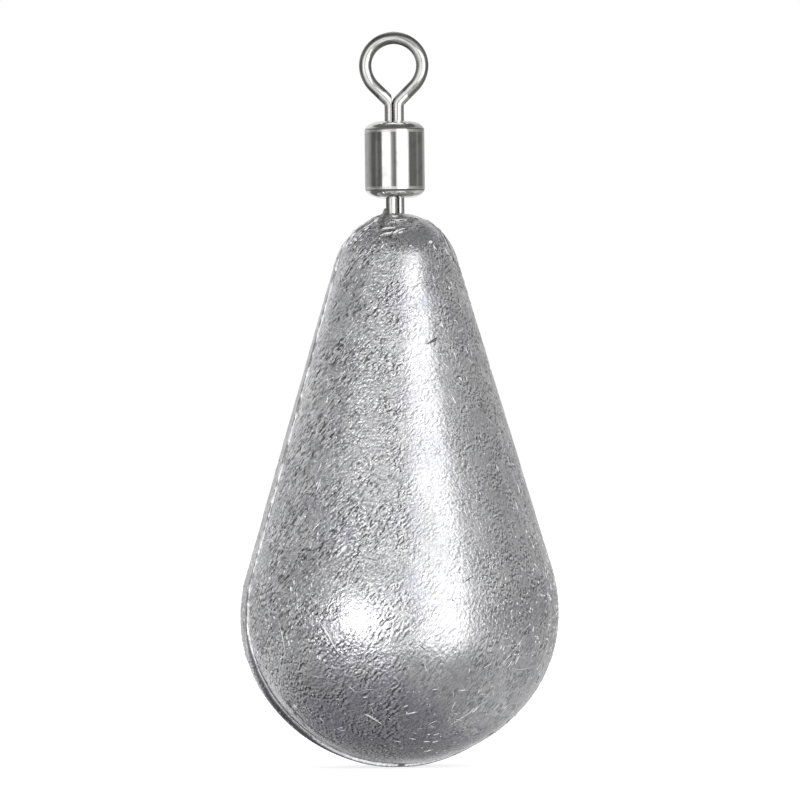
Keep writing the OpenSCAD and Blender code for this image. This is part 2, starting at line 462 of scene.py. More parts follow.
def pearRows():
    rows = []

    def arc(centreOut, centreUp, radius, start, end, pitch, first, last):
        count = max(2, round(math.radians(end - start) * radius / pitch))
        for number in range(first, count + 1 - last):
            angle = math.radians(start + (end - start) * number / count)
            rows.append((centreOut + radius * math.cos(angle), centreUp + radius * math.sin(angle), angle))

    pitch = lead["rowPitch"]
    arc(0, baseRadius, baseRadius, -90, baseMeet, pitch["base"], 1, 0)
    arc(lead["bellyTuck"], bellyHeight, lowerRadius, baseMeet, 0, pitch["belly"], 1, 0)
    arc(0, bellyHeight, bodyRadius, 0, flankSlope, pitch["belly"], 1, 0)
    slope = math.radians(flankSlope)
    start = np.array((bodyRadius * math.cos(slope), bellyHeight + bodyRadius * math.sin(slope)))
    end = np.array((noseRadius * math.cos(slope), noseHeight + noseRadius * math.sin(slope)))
    count = round(float(np.linalg.norm(end - start)) / pitch["flank"])
    for number in range(1, count):
        out, up = start + (end - start) * number / count
        rows.append((out, up, slope))
    arc(0, noseHeight, noseRadius, flankSlope, lead["crownAngle"], pitch["shoulder"], 0, 0)
    arc(0, noseHeight, noseRadius, lead["crownAngle"], 90, pitch["crown"], 1, 1)
    return np.array(rows)


rowTable = pearRows()


def radiusAt(height):
    return float(np.interp(height, rowTable[:, 1], rowTable[:, 0]))


def seamWander(height):
    # how far the seam strays from the parting plane
    return 0.02 * np.sin(1.7 * height + 0.4) + 0.014 * np.sin(4.3 * height + 2.0)


def onLead(azimuth, height, lift=0.0):
    # a place on the casting: degrees to the right of the viewer, height over the base of its mould half
    out = radiusAt(height)
    lean = float(np.interp(height, rowTable[:, 1], rowTable[:, 2]))
    side = math.radians(azimuth)
    facing = np.array((math.sin(side), -math.cos(side), 0.0))
    half = 1 if facing @ frontAxis > 0 else -1
    place = facing * (out + lift * math.cos(lean)) + seamAxis * half * lead["sideMismatch"] / 2
    place[2] = leadBase + height + lift * math.sin(lean) - (lead["dropMismatch"] if half < 0 else 0)
    return place


# Knocks, ridges and wrinkles of the front, each a line on the lead, partly grime and rubbing, partly painted
# shade in the hollows and painted light on the ridges:
# ((azimuth, height), ...), half width, height (below 0 a hollow), grime and shade, rub and light
leadMarks = [
    # ledge of the right shoulder: its ridge painted light, its groove painted shade
    (((79, 33.0), (75, 32.6), (68, 32.1), (62, 31.2), (62, 30.6), (78, 29.8)), 0.09, 0.07, 0.0, 1.0),
    (((84, 32.9), (80, 32.5), (74, 32.1), (68, 31.2), (68, 30.6), (83, 29.8)), 0.08, -0.09, 1.0, 0.0),
    (((66, 30.4), (74, 29.4), (80, 28.6)), 0.06, 0.03, 0.0, 0.5),
    # broken flash of the left shoulder
    (((-50.8, 33.11), (-50.8, 32.65), (-52.9, 32.11), (-59.9, 31.62)), 0.10, 0.12, 0.0, 1.0),
    (((-58.8, 32.87), (-59.7, 32.62), (-64.4, 32.36)), 0.12, 0.06, 1.0, 0.0),
    (((-70, 32.0), (-73, 31.6)), 0.10, 0.05, 0.9, 0.0),
    (((-44, 32.5), (-46, 31.9), (-52, 31.3)), 0.05, 0.06, 0.0, 0.8),
    (((-46, 32.3), (-50, 31.75), (-56, 31.2)), 0.06, -0.07, 0.9, 0.0),
    (((-38, 32.2), (-42, 31.7)), 0.05, 0.05, 0.0, 0.7),
    (((-64, 31.2), (-68, 30.7)), 0.06, 0.05, 0.0, 0.7),
    # wrinkles under the gate
    (((-18, 32.98), (-5, 32.92), (8, 32.94), (25, 33.0)), 0.05, 0.05, 0.0, 0.5),
    (((-22, 32.8), (-4, 32.74), (12, 32.8), (30, 32.88)), 0.04, -0.05, 0.7, 0.0),
    (((-16, 32.56), (-4, 32.6), (7, 32.68), (20, 32.7)), 0.05, 0.05, 0.0, 0.6),
    (((-20.7, 32.23), (-2.6, 32.39), (14.3, 32.47)), 0.045, -0.06, 0.9, 0.0),
    (((-19, 32.13), (-8, 32.2), (2, 32.34), (9, 32.3)), 0.05, 0.05, 0.0, 0.7),
    (((-18.2, 31.99), (-7.7, 32.05)), 0.04, -0.05, 0.8, 0.0),
    (((-29, 33.14), (-27.1, 32.9), (-22, 32.6)), 0.22, -0.02, 0.55, 0.0),
    (((30, 33.12), (35, 33.08)), 0.2, -0.03, 0.6, 0.0),
    # pit and scratch of the right shoulder, and other knocks
    (((12.5, 27.86), (13.5, 27.84)), 0.13, -0.05, 0.3, 0.3),
    (((-50, 14.8), (-49, 15.2)), 0.12, -0.04, 0.5, 0.2),
    (((-33, 20.1), (-31.5, 20.5)), 0.10, -0.04, 0.6, 0.0),
    (((34, 17.0), (35.5, 16.7)), 0.10, -0.04, 0.4, 0.2),
    (((52, 21.5), (54, 21.9)), 0.11, -0.05, 0.6, 0.0),
    # a broad painted shade that narrows the highlight below the ledge
    (((36, 31.0), (34, 29.3)), 0.65, -0.02, 0.35, 0.0),
]
# broad darker and paler patches of the skin, painted shade and painted light: azimuth, height, half width in
# degrees, half height, painted shade, painted light
leadPatches = [
    (-40, 28.2, 13, 2.3, 0.22, 0.0),
    (-34, 11.8, 11, 1.9, 0.26, 0.0),
    (-19, 20.5, 9, 3.0, 0.0, 0.36),
    (12, 14.0, 6, 2.6, 0.20, 0.0),
    (35, 14.6, 7, 2.5, 0.0, 0.25),
    (27, 9.0, 8, 0.9, 0.0, 0.30),
    (4, 31.0, 14, 1.1, 0.22, 0.0),
    (60, 5.4, 10, 0.9, 0.20, 0.0),
]
# the groove along the seam's left side, by height over the base, and the same for the hairline on the right
seamGroove = {
    "heights": (0.4, 1.2, 2.5, 5.0, 6.6, 8.2, 25.0, 33.2),
    "widths": (0.08, 0.32, 0.46, 0.44, 0.28, 0.08, 0.08, 0.05),
    "depths": (0.0, 0.13, 0.26, 0.27, 0.16, 0.06, 0.07, 0.04),
    "rightWidth": 0.05,
    "rightDepth": 0.05,
}
tornGate = {
    "middle": (-0.55, -0.55),
    "radii": (0.75, 1.25),           # level up to the first, faded out at the second
    "height": 0.05,
    "sliverAt": (-0.57, -0.28),
    "sliverRadius": 0.15,
    "sliverHeight": 0.40,
}
knocking = {"seed": 16, "allRound": 90, "onGate": 34}


def pressSeam(up, seam, wander, leftSide, lift, grimeAndShade, rubAndHighlight):
    # a hairline beside the seam on the flank, an open step low down on the left
    groove = seamGroove
    leftWide, leftDeep = (np.interp(up, groove["heights"], groove[key]) for key in ("widths", "depths"))
    rightDeep = groove["rightDepth"] * ease(up, 0.3, 1.5)
    rightSide, rightWide = 1 - leftSide, groove["rightWidth"]
    # the grooves beside the seam are darkened: partly grime, partly painted shade
    for side, wide, deep in ((leftSide, leftWide, leftDeep), (rightSide, rightWide, rightDeep)):
        hollow = np.exp(-((seam + 0.02 + wide) / wide) ** 2) * side
        lift -= deep * hollow
        grimeAndShade += hollow * np.clip(deep / 0.06, 0, 1)
    # low on the left the open step is painted: shade in it and in the crease below, a pale strip of painted
    # light beside it
    low = leftSide * ease(-up, -5.6, -3.8)
    grimeAndShade += 0.65 * low * ease(-seam, 0.0, 0.1) * ease(seam, -1.6, -1.0)
    rubAndHighlight += 0.58 * low * ease(seam, 0.03, 0.15) * ease(-seam, -1.55, -1.25) * ease(up, 0.2, 1.0)
    crease = np.exp(-((seam - 1.6 - 2 * wander) / 0.09) ** 2)
    crease = low * crease * ease(up, 1.3, 2.0) * ease(-up, -4.2, -3.8)
    grimeAndShade += 0.6 * crease
    lift -= 0.05 * crease
    # darker towards the base: painted shade standing in for the dark reflection under the belly
    grimeAndShade += 0.10 * ease(-up, -6.0, -3.0)
    # paler strips beside the seam on the left flank: painted light
    rubAndHighlight += 0.20 * leftSide * ease(seam, 0.1, 0.2) * ease(-seam, -1.6, -0.8) * ease(up, 19.0, 23.0)
    rubAndHighlight += 0.22 * leftSide * ease(-seam, 0.0, 0.1) * ease(seam, -2.2, -1.2) * ease(up, 6.5, 9.0)


def pressCrown(x, y, up, lift, grimeAndShade):
    # the crater round the wire's legs, the torn gate beside them and the sliver that stands on it
    turn = math.radians(anchorEye["turn"])
    legLine = np.array((math.cos(turn), math.sin(turn))) * anchorEye["legPitch"] / 2
    onLine = np.clip((x * legLine[0] + y * legLine[1]) / float(legLine @ legLine), -1, 1)
    fromLegs = np.hypot(x - onLine * legLine[0], y - onLine * legLine[1])
    top = ease(up, 31.5, 32.3)
    ring = np.exp(-((fromLegs - anchorEye["wireDiameter"] / 2 - 0.05) / 0.07) ** 2) * top
    lift -= 0.09 * ring
    grimeAndShade += 0.9 * ring
    middle, (level, faded) = tornGate["middle"], tornGate["radii"]
    gate = ease(-np.hypot(x - middle[0], y - middle[1]), -faded, -level) * top
    lift += tornGate["height"] * gate
    grimeAndShade += 0.45 * gate
    foot = tornGate["sliverAt"]
    sliver = np.exp(-((x - foot[0]) ** 2 + (y - foot[1]) ** 2) / tornGate["sliverRadius"] ** 2) * top
    lift += tornGate["sliverHeight"] * sliver
    grimeAndShade += 0.5 * sliver


def smallKnocks():
    # from a fixed seed, in the form of leadMarks
    picks = np.random.default_rng(knocking["seed"])
    knocks = []
    for number in range(knocking["allRound"]):
        height, azimuth = picks.uniform(1.5, 26.5), picks.uniform(45, 365)
        run, tilt = picks.uniform(0.1, 0.9), picks.uniform(0, math.pi)
        step = math.degrees(run * math.cos(tilt) / max(radiusAt(height), 1.5))
        ends = ((azimuth, height), (azimuth + step, height + run * math.sin(tilt)))
        knocks.append((ends, picks.uniform(0.07, 0.16), -picks.uniform(0.02, 0.05),
                       picks.uniform(0, 0.5), picks.uniform(0, 0.3)))
    for number in range(knocking["onGate"]):
        azimuth, height = picks.uniform(-95, 15), picks.uniform(32.5, 33.3)
        step, climb = picks.uniform(4, 16), picks.uniform(-0.15, 0.15)
        ends = ((azimuth, height), (azimuth + step, height + climb))
        knocks.append((ends, picks.uniform(0.04, 0.07), picks.uniform(-0.07, 0.07),
                       picks.uniform(0, 0.7), picks.uniform(0, 0.5)))
    return knocks


def pressMark(shape, mark, lift, grimeAndShade, rubAndHighlight):
    places, wide, deep, dirtAndShade, shine = mark
    line = [onLead(*place) for place in places]
    nearest = np.full(lift.shape, 9.0)
    for start, end in zip(line, line[1:]):
        way = end - start
        share = np.clip(((shape - start) @ way) / float(way @ way), 0, 1)
        gap = shape - start - share[..., None] * way
        nearest = np.minimum(nearest, np.sqrt((gap ** 2).sum(-1)))
    pressed = np.exp(-(nearest / wide) ** 2)
    lift += deep * pressed
    if deep < 0:                     # the lead that a hollow pushed up round itself
        lift -= 0.3 * deep * np.exp(-((nearest - 1.7 * wide) / (0.5 * wide)) ** 2)
    grimeAndShade += dirtAndShade * pressed
    rubAndHighlight += shine * pressed


def grainStrength(azimuth, up, seam):
    # the sand of the casting is weak beside the seam and on the lower belly, strong on the left flank
    grain = 0.50 + 0.50 * ease(-np.abs(azimuth + 40), -80, -40)
    grain *= 1 - 0.65 * ease(-np.abs(azimuth - 16), -22, -8)
    grain *= 0.62 + 0.38 * ease(up, 4.5, 8.5)
    grain *= 0.2 + 0.8 * ease(np.abs(seam), 0.1, 1.5)
    grain *= 1 - 0.5 * ease(up, 31.5, 32.5)
    return grain * (1 - 0.6 * np.exp(-((azimuth + 15) / 16) ** 2 - ((up - 9.0) / 2.2) ** 2))


def castingShape():
    # a grid of places over the lead, row by row from the base, and the strength of its finishes there
    out, up, lean = (column[:, None] for column in rowTable.T)
    near = np.array(lead["seamOffsets"]) / bodyRadius
    between = np.linspace(near[-1], math.pi - near[-1], lead["columnsPerHalf"] + 1)[1:-1]
    half = np.concatenate((near, between, (math.pi - near[::-1])[:-1]))
    turn = np.concatenate((half, half + math.pi))[None, :]
    across, ahead = out * np.cos(turn), out * np.sin(turn)          # along the seam, and in front of it
    leftSide = ease(-across, -0.02, 0.05)
    front = ease(ahead, -lead["seamStep"], lead["seamStep"])
    wander = seamWander(up)
    seam = ahead + wander
    lift, grimeAndShade, rubAndHighlight = (np.zeros_like(across) for part in range(3))
    pressSeam(up, seam, wander, leftSide, lift, grimeAndShade, rubAndHighlight)

    shifted = (across + lead["sideMismatch"] * (front - 0.5))[..., None] * seamAxis
    shape = shifted + ahead[..., None] * frontAxis
    pressCrown(shape[..., 0], shape[..., 1], up, lift, grimeAndShade)
    shape[..., 2] = leadBase + up - (1 - front) * lead["dropMismatch"]
    facing = (np.cos(lean) * np.cos(turn))[..., None] * seamAxis
    facing = facing + (np.cos(lean) * np.sin(turn))[..., None] * frontAxis
    facing[..., 2] = np.sin(lean)

    for mark in leadMarks + smallKnocks():
        pressMark(shape, mark, lift, grimeAndShade, rubAndHighlight)
    azimuth = np.degrees(np.arctan2(shape[..., 0], -shape[..., 1]))
    # the patches paint shade and light onto the skin
    for aside, height, wide, tall, dirtAndShade, shine in leadPatches:
        patch = np.exp(-((azimuth - aside) / wide) ** 2 - ((up - height) / tall) ** 2)
        grimeAndShade += dirtAndShade * patch
        rubAndHighlight += shine * patch
    brushed = ease(azimuth, 48, 70) * ease(-azimuth, -104, -90) * ease(up, 3.0, 9.0)
    skins = {"grimeAndShade": np.clip(grimeAndShade, 0, 1), "rubAndHighlight": np.clip(rubAndHighlight, 0, 1),
             "grain": grainStrength(azimuth, up, seam), "brushed": brushed}
    return shape + facing * lift[..., None], skins


def castingMesh():
    shape, skins = castingShape()
    rows, columns = shape.shape[:2]
    points = np.vstack((shape.reshape(-1, 3), shape[0].mean(0), shape[-1].mean(0)))
    faces = []
    for row in range(rows - 1):
        for column in range(columns):
            after = (column + 1) % columns
            faces.append((row * columns + column, row * columns + after,
                          (row + 1) * columns + after, (row + 1) * columns + column))
    bottom, top = rows * columns, rows * columns + 1
    for column in range(columns):
        after = (column + 1) % columns
        faces.append((bottom, after, column))
        faces.append((top, (rows - 1) * columns + column, (rows - 1) * columns + after))
    attributes = {}
    for name, values in skins.items():
        attributes[name] = np.append(values, (values[0].mean(), values[-1].mean()))
    return newPiece("lead_casting", points, faces, None, attributes)


castSkin = {
    "Lump Size": 5.0,
    "Lump Height": 0.10,
    "Pebble Size": 0.85,
    "Pebble Height": 0.045,
    "Seed": 3.0,
}


def castSkinTree():
    tree, given = newTree("castSkin", [
        ("Lump Size", "Float"), ("Lump Height", "Float"), ("Pebble Size", "Float"),
        ("Pebble Height", "Float"), ("Seed", "Float"), ("Metal", "Material")])
    facing = addNode(tree, "GeometryNodeInputNormal").outputs[0]
    space = scaledBy(tree, addNode(tree, "GeometryNodeInputPosition").outputs[0], 1 / mm)
    grain = addNode(tree, "GeometryNodeInputNamedAttribute", {"Name": "grain"}, data_type="FLOAT").outputs[0]
    rises = []
    for size, height in (("Lump Size", "Lump Height"), ("Pebble Size", "Pebble Height")):
        scale = calc(tree, "DIVIDE", 1.0, given[size])
        noise = addNode(tree, "ShaderNodeTexNoise", {
            "Vector": space, "W": given["Seed"], "Scale": scale, "Detail": 1.0}, noise_dimensions="4D")
        rises.append(calc(tree, "MULTIPLY", calc(tree, "SUBTRACT", noise.outputs[0], 0.56), given[height]))
    lumps, pebbles = rises
    reach = calc(tree, "MULTIPLY", calc(tree, "ADD", lumps, calc(tree, "MULTIPLY", pebbles, grain)), mm)
    moved = addNode(tree, "GeometryNodeSetPosition", {
        "Geometry": given["Geometry"], "Offset": scaledBy(tree, facing, reach)}).outputs[0]
    endTree(tree, moved, given["Metal"])
    return tree


def keepInside(piece, low, high):
    # no point of the finish stands past the solid's own box
    places = np.empty(len(piece.data.vertices) * 3, np.float32)
    piece.data.vertices.foreach_get("co", places)
    places = np.clip(places.reshape(-1, 3), np.array(low, np.float32), np.array(high, np.float32))
    piece.data.vertices.foreach_set("co", places.ravel())
    piece.data.update()


# Bent wire eyes

lineEye = {
    "wireDiameter": 0.75,
    "ringRadius": 1.725,
    "flankLean": 45.0,
    "bendRadius": 0.5,
    "legPitch": 0.42,
    "legGap": 0.003,
    "pressSide": -0.15,              # the legs meet this far off the middle
    "turn": 0.0,
    "wave": 0.015,
    # the painted highlight band, with painted shade on either side of it: degrees round the ring from the
    # right, then its reach in and out in half wires
    "paintedHighlight": (
        (15, -0.95, 0.60), (45, -0.95, 0.02), (75, -0.80, 0.14), (105, -0.38, 0.32), (135, -0.2, 0.45),
        (165, -0.68, 0.60), (195, -0.74, 0.66), (225, -0.12, 0.66), (255, -0.5, 0.5), (285, -0.5, 0.3),
        (315, -0.66, 0.0), (345, -0.84, 0.60)),
    "sides": 56,
    "pressBelow": -1.7,
}
anchorEye = dict(lineEye, turn=27.0, pressSide=-0.08, wave=0.0)
wireHead = {"shankRadius": 0.585, "headRadius": 1.1, "band": 0.25, "dome": 0.35, "steps": 64}


def eyePath(eye, reach):
    # one half in the eye's plane: from the leg's end, up the leg, round the bend, to the top of the ring
    legX, bend, ring = eye["legPitch"] / 2, eye["bendRadius"], eye["ringRadius"]
    lean = math.radians(eye["flankLean"])
    leave = np.array((ring * math.cos(lean), -ring * math.sin(lean)))
    flank = (leave[0] - bend * (1 - math.cos(lean)) - legX) / math.cos(lean)
    foot = leave - flank * np.array((math.cos(lean), math.sin(lean)))
    drop = foot[1] - bend * math.sin(lean)
    points = [(legX, -reach), (legX, (-reach + drop) / 2), (legX, drop - 0.12)]
    for number in range(13):
        angle = lean * number / 12
        points.append((legX + bend * (1 - math.cos(angle)), drop + bend * math.sin(angle)))
    for number in range(1, 8):
        points.append(tuple(foot + (leave - foot) * number / 8))
    for number in range(91):
        angle = -lean + (math.pi / 2 + lean) * number / 90
        wave = ease(np.array(angle), -lean, -lean + 0.6) * math.sin(3.0 * angle + 0.8)
        radius = ring + eye["wave"] * wave
        points.append((radius * math.cos(angle), radius * math.sin(angle)))
    return points


def profileRing(tree, sides, radius):
    return addNode(tree, "GeometryNodeCurvePrimitiveCircle", {
        "Resolution": sides, "Radius": radius}).outputs[0]


def storeValue(tree, geometry, name, value, kind):
    return addNode(tree, "GeometryNodeStoreNamedAttribute", {
        "Geometry": geometry, "Name": name, "Value": value}, data_type=kind, domain="POINT").outputs[0]


def paintedHighlightFace(tree, here, centre, radius, isLeg):
    # 0 on the wire's sides to 1 in the middle of its face, round the ring only within the painted highlight
    # band
    face = calc(tree, "DIVIDE", calc(tree, "ABSOLUTE", here[1]), radius)
    fromMiddle = []
    for part in (here, centre):
        level = addNode(tree, "ShaderNodeCombineXYZ", {0: part[0], 2: part[2]}).outputs[0]
        length = addNode(tree, "ShaderNodeVectorMath", {0: level}, operation="LENGTH")
        fromMiddle.append(length.outputs["Value"])
    outer = calc(tree, "DIVIDE", calc(tree, "SUBTRACT", *fromMiddle), radius)
    turn = calc(tree, "DIVIDE", calc(tree, "ARCTAN2", centre[2], centre[0]), 2 * math.pi)
    turn = calc(tree, "FRACT", turn)
    inside, outside = (
        rampOf(tree, turn, [(stop[0] / 360, stop[side] / 2 + 0.5) for stop in lineEye["paintedHighlight"]])
        for side in (1, 2))
    place = calc(tree, "MULTIPLY_ADD", outer, 0.5, 0.5)
    band = calc(tree, "MINIMUM", calc(tree, "SUBTRACT", place, inside),
                calc(tree, "SUBTRACT", outside, place))
    band = calc(tree, "MAXIMUM", remap(tree, band, -0.10, 0.14, 0.0, 1.0), isLeg)
    return calc(tree, "MULTIPLY", face, band)


def wireTree():
    tree, given = newTree("bentWire", [
        ("Wire Diameter", "Float"), ("Sides", "Int"), ("Leg Gap", "Float"), ("Press Side", "Float"),
        ("Press Below", "Float"), ("Metal", "Material")])
    radius = calc(tree, "MULTIPLY", given["Wire Diameter"], mm / 2)
    ring = profileRing(tree, given["Sides"], radius)
    spot = addNode(tree, "GeometryNodeInputPosition").outputs[0]
    run = addNode(tree, "GeometryNodeSplineParameter").outputs["Length"]

    def capture(geometry, kind, value):
        made = addNode(tree, "GeometryNodeCaptureAttribute", {"Geometry": geometry})
        made.capture_items.new(kind, "kept")
        tree.links.new(value, made.inputs[1])
        return made.outputs[0], made.outputs[1]

    ring, aroundWire = capture(ring, "VECTOR", spot)
    path, middle = capture(given["Geometry"], "VECTOR", spot)
    path, alongWire = capture(path, "FLOAT", run)
    swept = addNode(tree, "GeometryNodeCurveToMesh", {
        "Curve": path, "Profile Curve": ring, "Fill Caps": True}).outputs[0]
    around = axesOf(tree, aroundWire)
    straight = addNode(tree, "ShaderNodeCombineXYZ", {0: around[0], 1: around[1], 2: alongWire}).outputs[0]
    stored = storeValue(tree, swept, "wireSpace", scaledBy(tree, straight, 1 / mm), "FLOAT_VECTOR")
    # the two legs are pressed flat against each other
    here, centre = axesOf(tree, spot), axesOf(tree, middle)
    side = calc(tree, "SIGN", centre[0])
    plane = calc(tree, "MULTIPLY", given["Press Side"], mm)
    gap = calc(tree, "MULTIPLY", given["Leg Gap"], mm)
    outward = calc(tree, "MULTIPLY", calc(tree, "SUBTRACT", here[0], plane), side)
    pressed = calc(tree, "MAXIMUM", outward, gap)
    pressed = calc(tree, "MULTIPLY_ADD", pressed, side, plane)
    isLeg = calc(tree, "LESS_THAN", centre[2], calc(tree, "MULTIPLY", given["Press Below"], mm))
    face = paintedHighlightFace(tree, here, centre, radius, isLeg)
    # painted shade in the crease between the legs
    crease = remap(tree, outward, 0.01 * mm, 0.07 * mm, 0.15, 1.0)
    crease = calc(tree, "MAXIMUM", crease, calc(tree, "SUBTRACT", 1.0, isLeg))
    stored = storeValue(tree, stored, "paintedHighlightShare", calc(tree, "MULTIPLY", face, crease), "FLOAT")
    flat = addNode(tree, "ShaderNodeCombineXYZ", {0: pressed, 1: here[1], 2: here[2]}).outputs[0]
    shaped = addNode(tree, "GeometryNodeSetPosition", {
        "Geometry": stored, "Selection": isLeg, "Position": flat}).outputs[0]
    endTree(tree, shaped, given["Metal"])
    return tree


def turnedShape(name, section, steps, material, closed=True):
    # section: (radius, height) pairs; a closed section makes a ring, an open one ends on the axis
    faces, points = [], []
    count = len(section)
    for step in range(steps):
        angle = 2 * math.pi * step / steps
        points += [(out * math.cos(angle), out * math.sin(angle), up) for out, up in section]
    for step in range(steps):
        after = (step + 1) % steps
        for number in range(count if closed else count - 1):
            above = (number + 1) % count
            faces.append((step * count + number, after * count + number,
                          after * count + above, step * count + above))
    if not closed:
        ends = len(points)
        points += [(0, 0, section[0][1]), (0, 0, section[-1][1])]
        for step in range(steps):
            after = (step + 1) % steps
            faces.append((ends, step * count, after * count))
            faces.append((ends + 1, after * count + count - 1, step * count + count - 1))
    return newPiece(name, points, faces, material)


def headSection(top):
    # a cone, a band and a dome, from the shank down; top is where the cone leaves the shank
    head = wireHead
    coneFoot = top - (head["headRadius"] - head["shankRadius"])
    bandFoot = coneFoot - head["band"]
    section = [(head["shankRadius"] * 0.6, top + 0.02), (head["shankRadius"], top),
               (head["headRadius"], coneFoot), (head["headRadius"], bandFoot)]
    for number in range(1, 9):
        angle = math.radians(90 * number / 9)
        section.append((head["headRadius"] * math.cos(angle), bandFoot - head["dome"] * math.sin(angle)))
    return section


def makeEye(name, eye, node, body, flip):
    # the eye is built upright about its ring's centre, then placed on the CAD node
    low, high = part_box(node)
    tall = (high.z - low.z) / mm
    ringTop = eye["ringRadius"] + eye["wireDiameter"] / 2
    reach = tall - ringTop
    cone = wireHead["headRadius"] - wireHead["shankRadius"]
    headTop = -reach + wireHead["dome"] + wireHead["band"] + cone
    half = eyePath(eye, reach - wireHead["dome"] - 0.1)
    run = [(-x, 0, z) for x, z in half] + [(x, 0, z) for x, z in half[::-1][1:]]
    wire = runTree(pathCurve(name + "_path", [run]), bentWire, {
        "Wire Diameter": eye["wireDiameter"], "Sides": eye["sides"], "Leg Gap": eye["legGap"],
        "Press Side": eye["pressSide"], "Press Below": eye["pressBelow"], "Metal": wireNickel}, name)
    head = turnedShape(name + "_head", headSection(headTop), wireHead["steps"], wireNickel, closed=False)
    join = wire.modifiers.new("head", "BOOLEAN")
    join.operation, join.solver, join.object = "UNION", "EXACT", head
    mesh = bpy.data.meshes.new_from_object(wire.evaluated_get(bpy.context.evaluated_depsgraph_get()))
    wire.modifiers.clear()
    wire.data = mesh
    bpy.data.objects.remove(head)
    centre = (low.z / mm + ringTop) if flip else (high.z / mm - ringTop)
    place = Matrix.Translation((0, 0, centre * mm)) @ Matrix.Rotation(math.radians(eye["turn"]), 4, "Z")
    if flip:
        place = place @ Matrix.Rotation(math.pi, 4, "Y")
    wire.data.transform(place)
    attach(wire, body)
    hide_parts(node)
    return wire


bentWire = wireTree()
lineWire = makeEye("line_eye_wire", lineEye, "line_eye", "line_eye", False)
anchorWire = makeEye("anchor_eye_wire", anchorEye, "anchor_eye", "weight", True)
print("eyes bent:", len(lineWire.data.polygons), "and", len(anchorWire.data.polygons), "faces")


# The barrel: a tube with both ends rolled in round the wires

barrel = {
    "diameter": 3.65,
    "wall": 0.35,
    "shoulderHeight": 0.60,
    "toolMark": (0.03, 0.014),       # half its height, its depth
    "shoulderStart": 0.80,
    "mouthRadius": 0.645,
    "lipDepth": 0.16,
    "steps": 160,
    "unevenness": 0.008,
}


def quarterRound(out, up, wide, tall, start, end, steps):
    # points of a quarter ellipse round (out, up), from one angle to another
    turns = (math.radians(start + (end - start) * number / steps) for number in range(steps + 1))
    return [(out + wide * math.cos(turn), up + tall * math.sin(turn)) for turn in turns]


def makeBarrel():
    radius = barrel["diameter"] / 2
    half = (barrelHigh.z - barrelLow.z) / mm / 2
    middle = (barrelHigh.z + barrelLow.z) / mm / 2
    start, mouth, wall = barrel["shoulderStart"], barrel["mouthRadius"], barrel["wall"]
    shoulder, lip = barrel["shoulderHeight"], barrel["lipDepth"]
    foot = half - shoulder
    # from inside the mouth over the rolled lip and the shoulder to the line that the rolling tool left
    upper = [(mouth, half - wall - 0.02)]
    upper += quarterRound(start, half - lip, start - mouth, lip, 180, 90, 8)
    upper += quarterRound(start, foot, radius - start, shoulder, 90, 0, 24)[1:]
    high, deep = barrel["toolMark"]
    upper += [(radius, foot - 0.01), (radius - deep, foot - 0.01 - high), (radius, foot - 0.01 - 2 * high),
              (radius, foot - 0.03 - 2 * high)]
    inner = quarterRound(start, foot, radius - wall - start, shoulder - wall, 0, 90, 12)
    lower, innerLower = ([(out, -up) for out, up in part[::-1]] for part in (upper, inner))
    section = [(out, up + middle) for out, up in upper + lower + innerLower + inner]
    made = turnedShape("swivel_barrel_shell", section, barrel["steps"], barrelNickel)
    # the rolled ends are a little uneven, as pressed ones are
    places = np.empty(len(made.data.vertices) * 3, np.float32)
    made.data.vertices.foreach_get("co", places)
    places = places.reshape(-1, 3) / mm
    angle = np.arctan2(places[:, 1], places[:, 0])
    fromEnd = half - np.abs(places[:, 2] - middle)
    swell = (np.sin(3 * angle + 0.7) + 0.7 * np.sin(7 * angle + 2.1) + 0.5 * np.sin(13 * angle + 4.0)) / 2.2
    amount = barrel["unevenness"] * (swell - 1) * (1 - ease(fromEnd, 0.45, 0.8))
    places[:, :2] *= (1 + amount / np.maximum(np.hypot(places[:, 0], places[:, 1]), 0.5))[:, None]
    places[:, 2] += amount * np.sign(places[:, 2] - middle) * 1.5
    made.data.vertices.foreach_set("co", (places * mm).astype(np.float32).ravel())
    made.data.update()
    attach(made, "barrel")
    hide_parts("swivel_barrel")
    return made


makeBarrel()
print("barrel rolled")

topOfLead = Vector((leadHigh.x, leadHigh.y, cadBox[1].z))        # upwards the crown's torn lead is free
casting = castingMesh()
runTree(casting, castSkinTree(), dict(castSkin, Metal=leadSkin))
keepInside(casting, leadLow, topOfLead)
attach(casting, "weight")
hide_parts("lead_body")
print("lead cast:", len(casting.data.polygons), "faces")


# Flash, burrs, specks, pits and torn chips: threads of lead that follow lines on the casting; their pale and
# near-black tones are partly painted highlight and painted shade

flash = {"Thread Radius": 0.135, "Bead Length": 0.75, "Bead Depth": 0.95, "Sides": 8, "Seed": 5.0}
burr = dict(flash, **{"Bead Depth": 0.45, "Sides": 6})
torn = dict(burr, **{"Bead Length": 0.22})
seamFlash = {
    "pitch": 0.16,
    "heights": (0.4, 3, 6.5, 7.5, 18, 24, 31, 33),
    "thicknesses": (0.15, 0.22, 0.4, 0.9, 1, 0.7, 0.9, 0.4),
    "rightShare": 0.8,
}
handlingSeed = 29
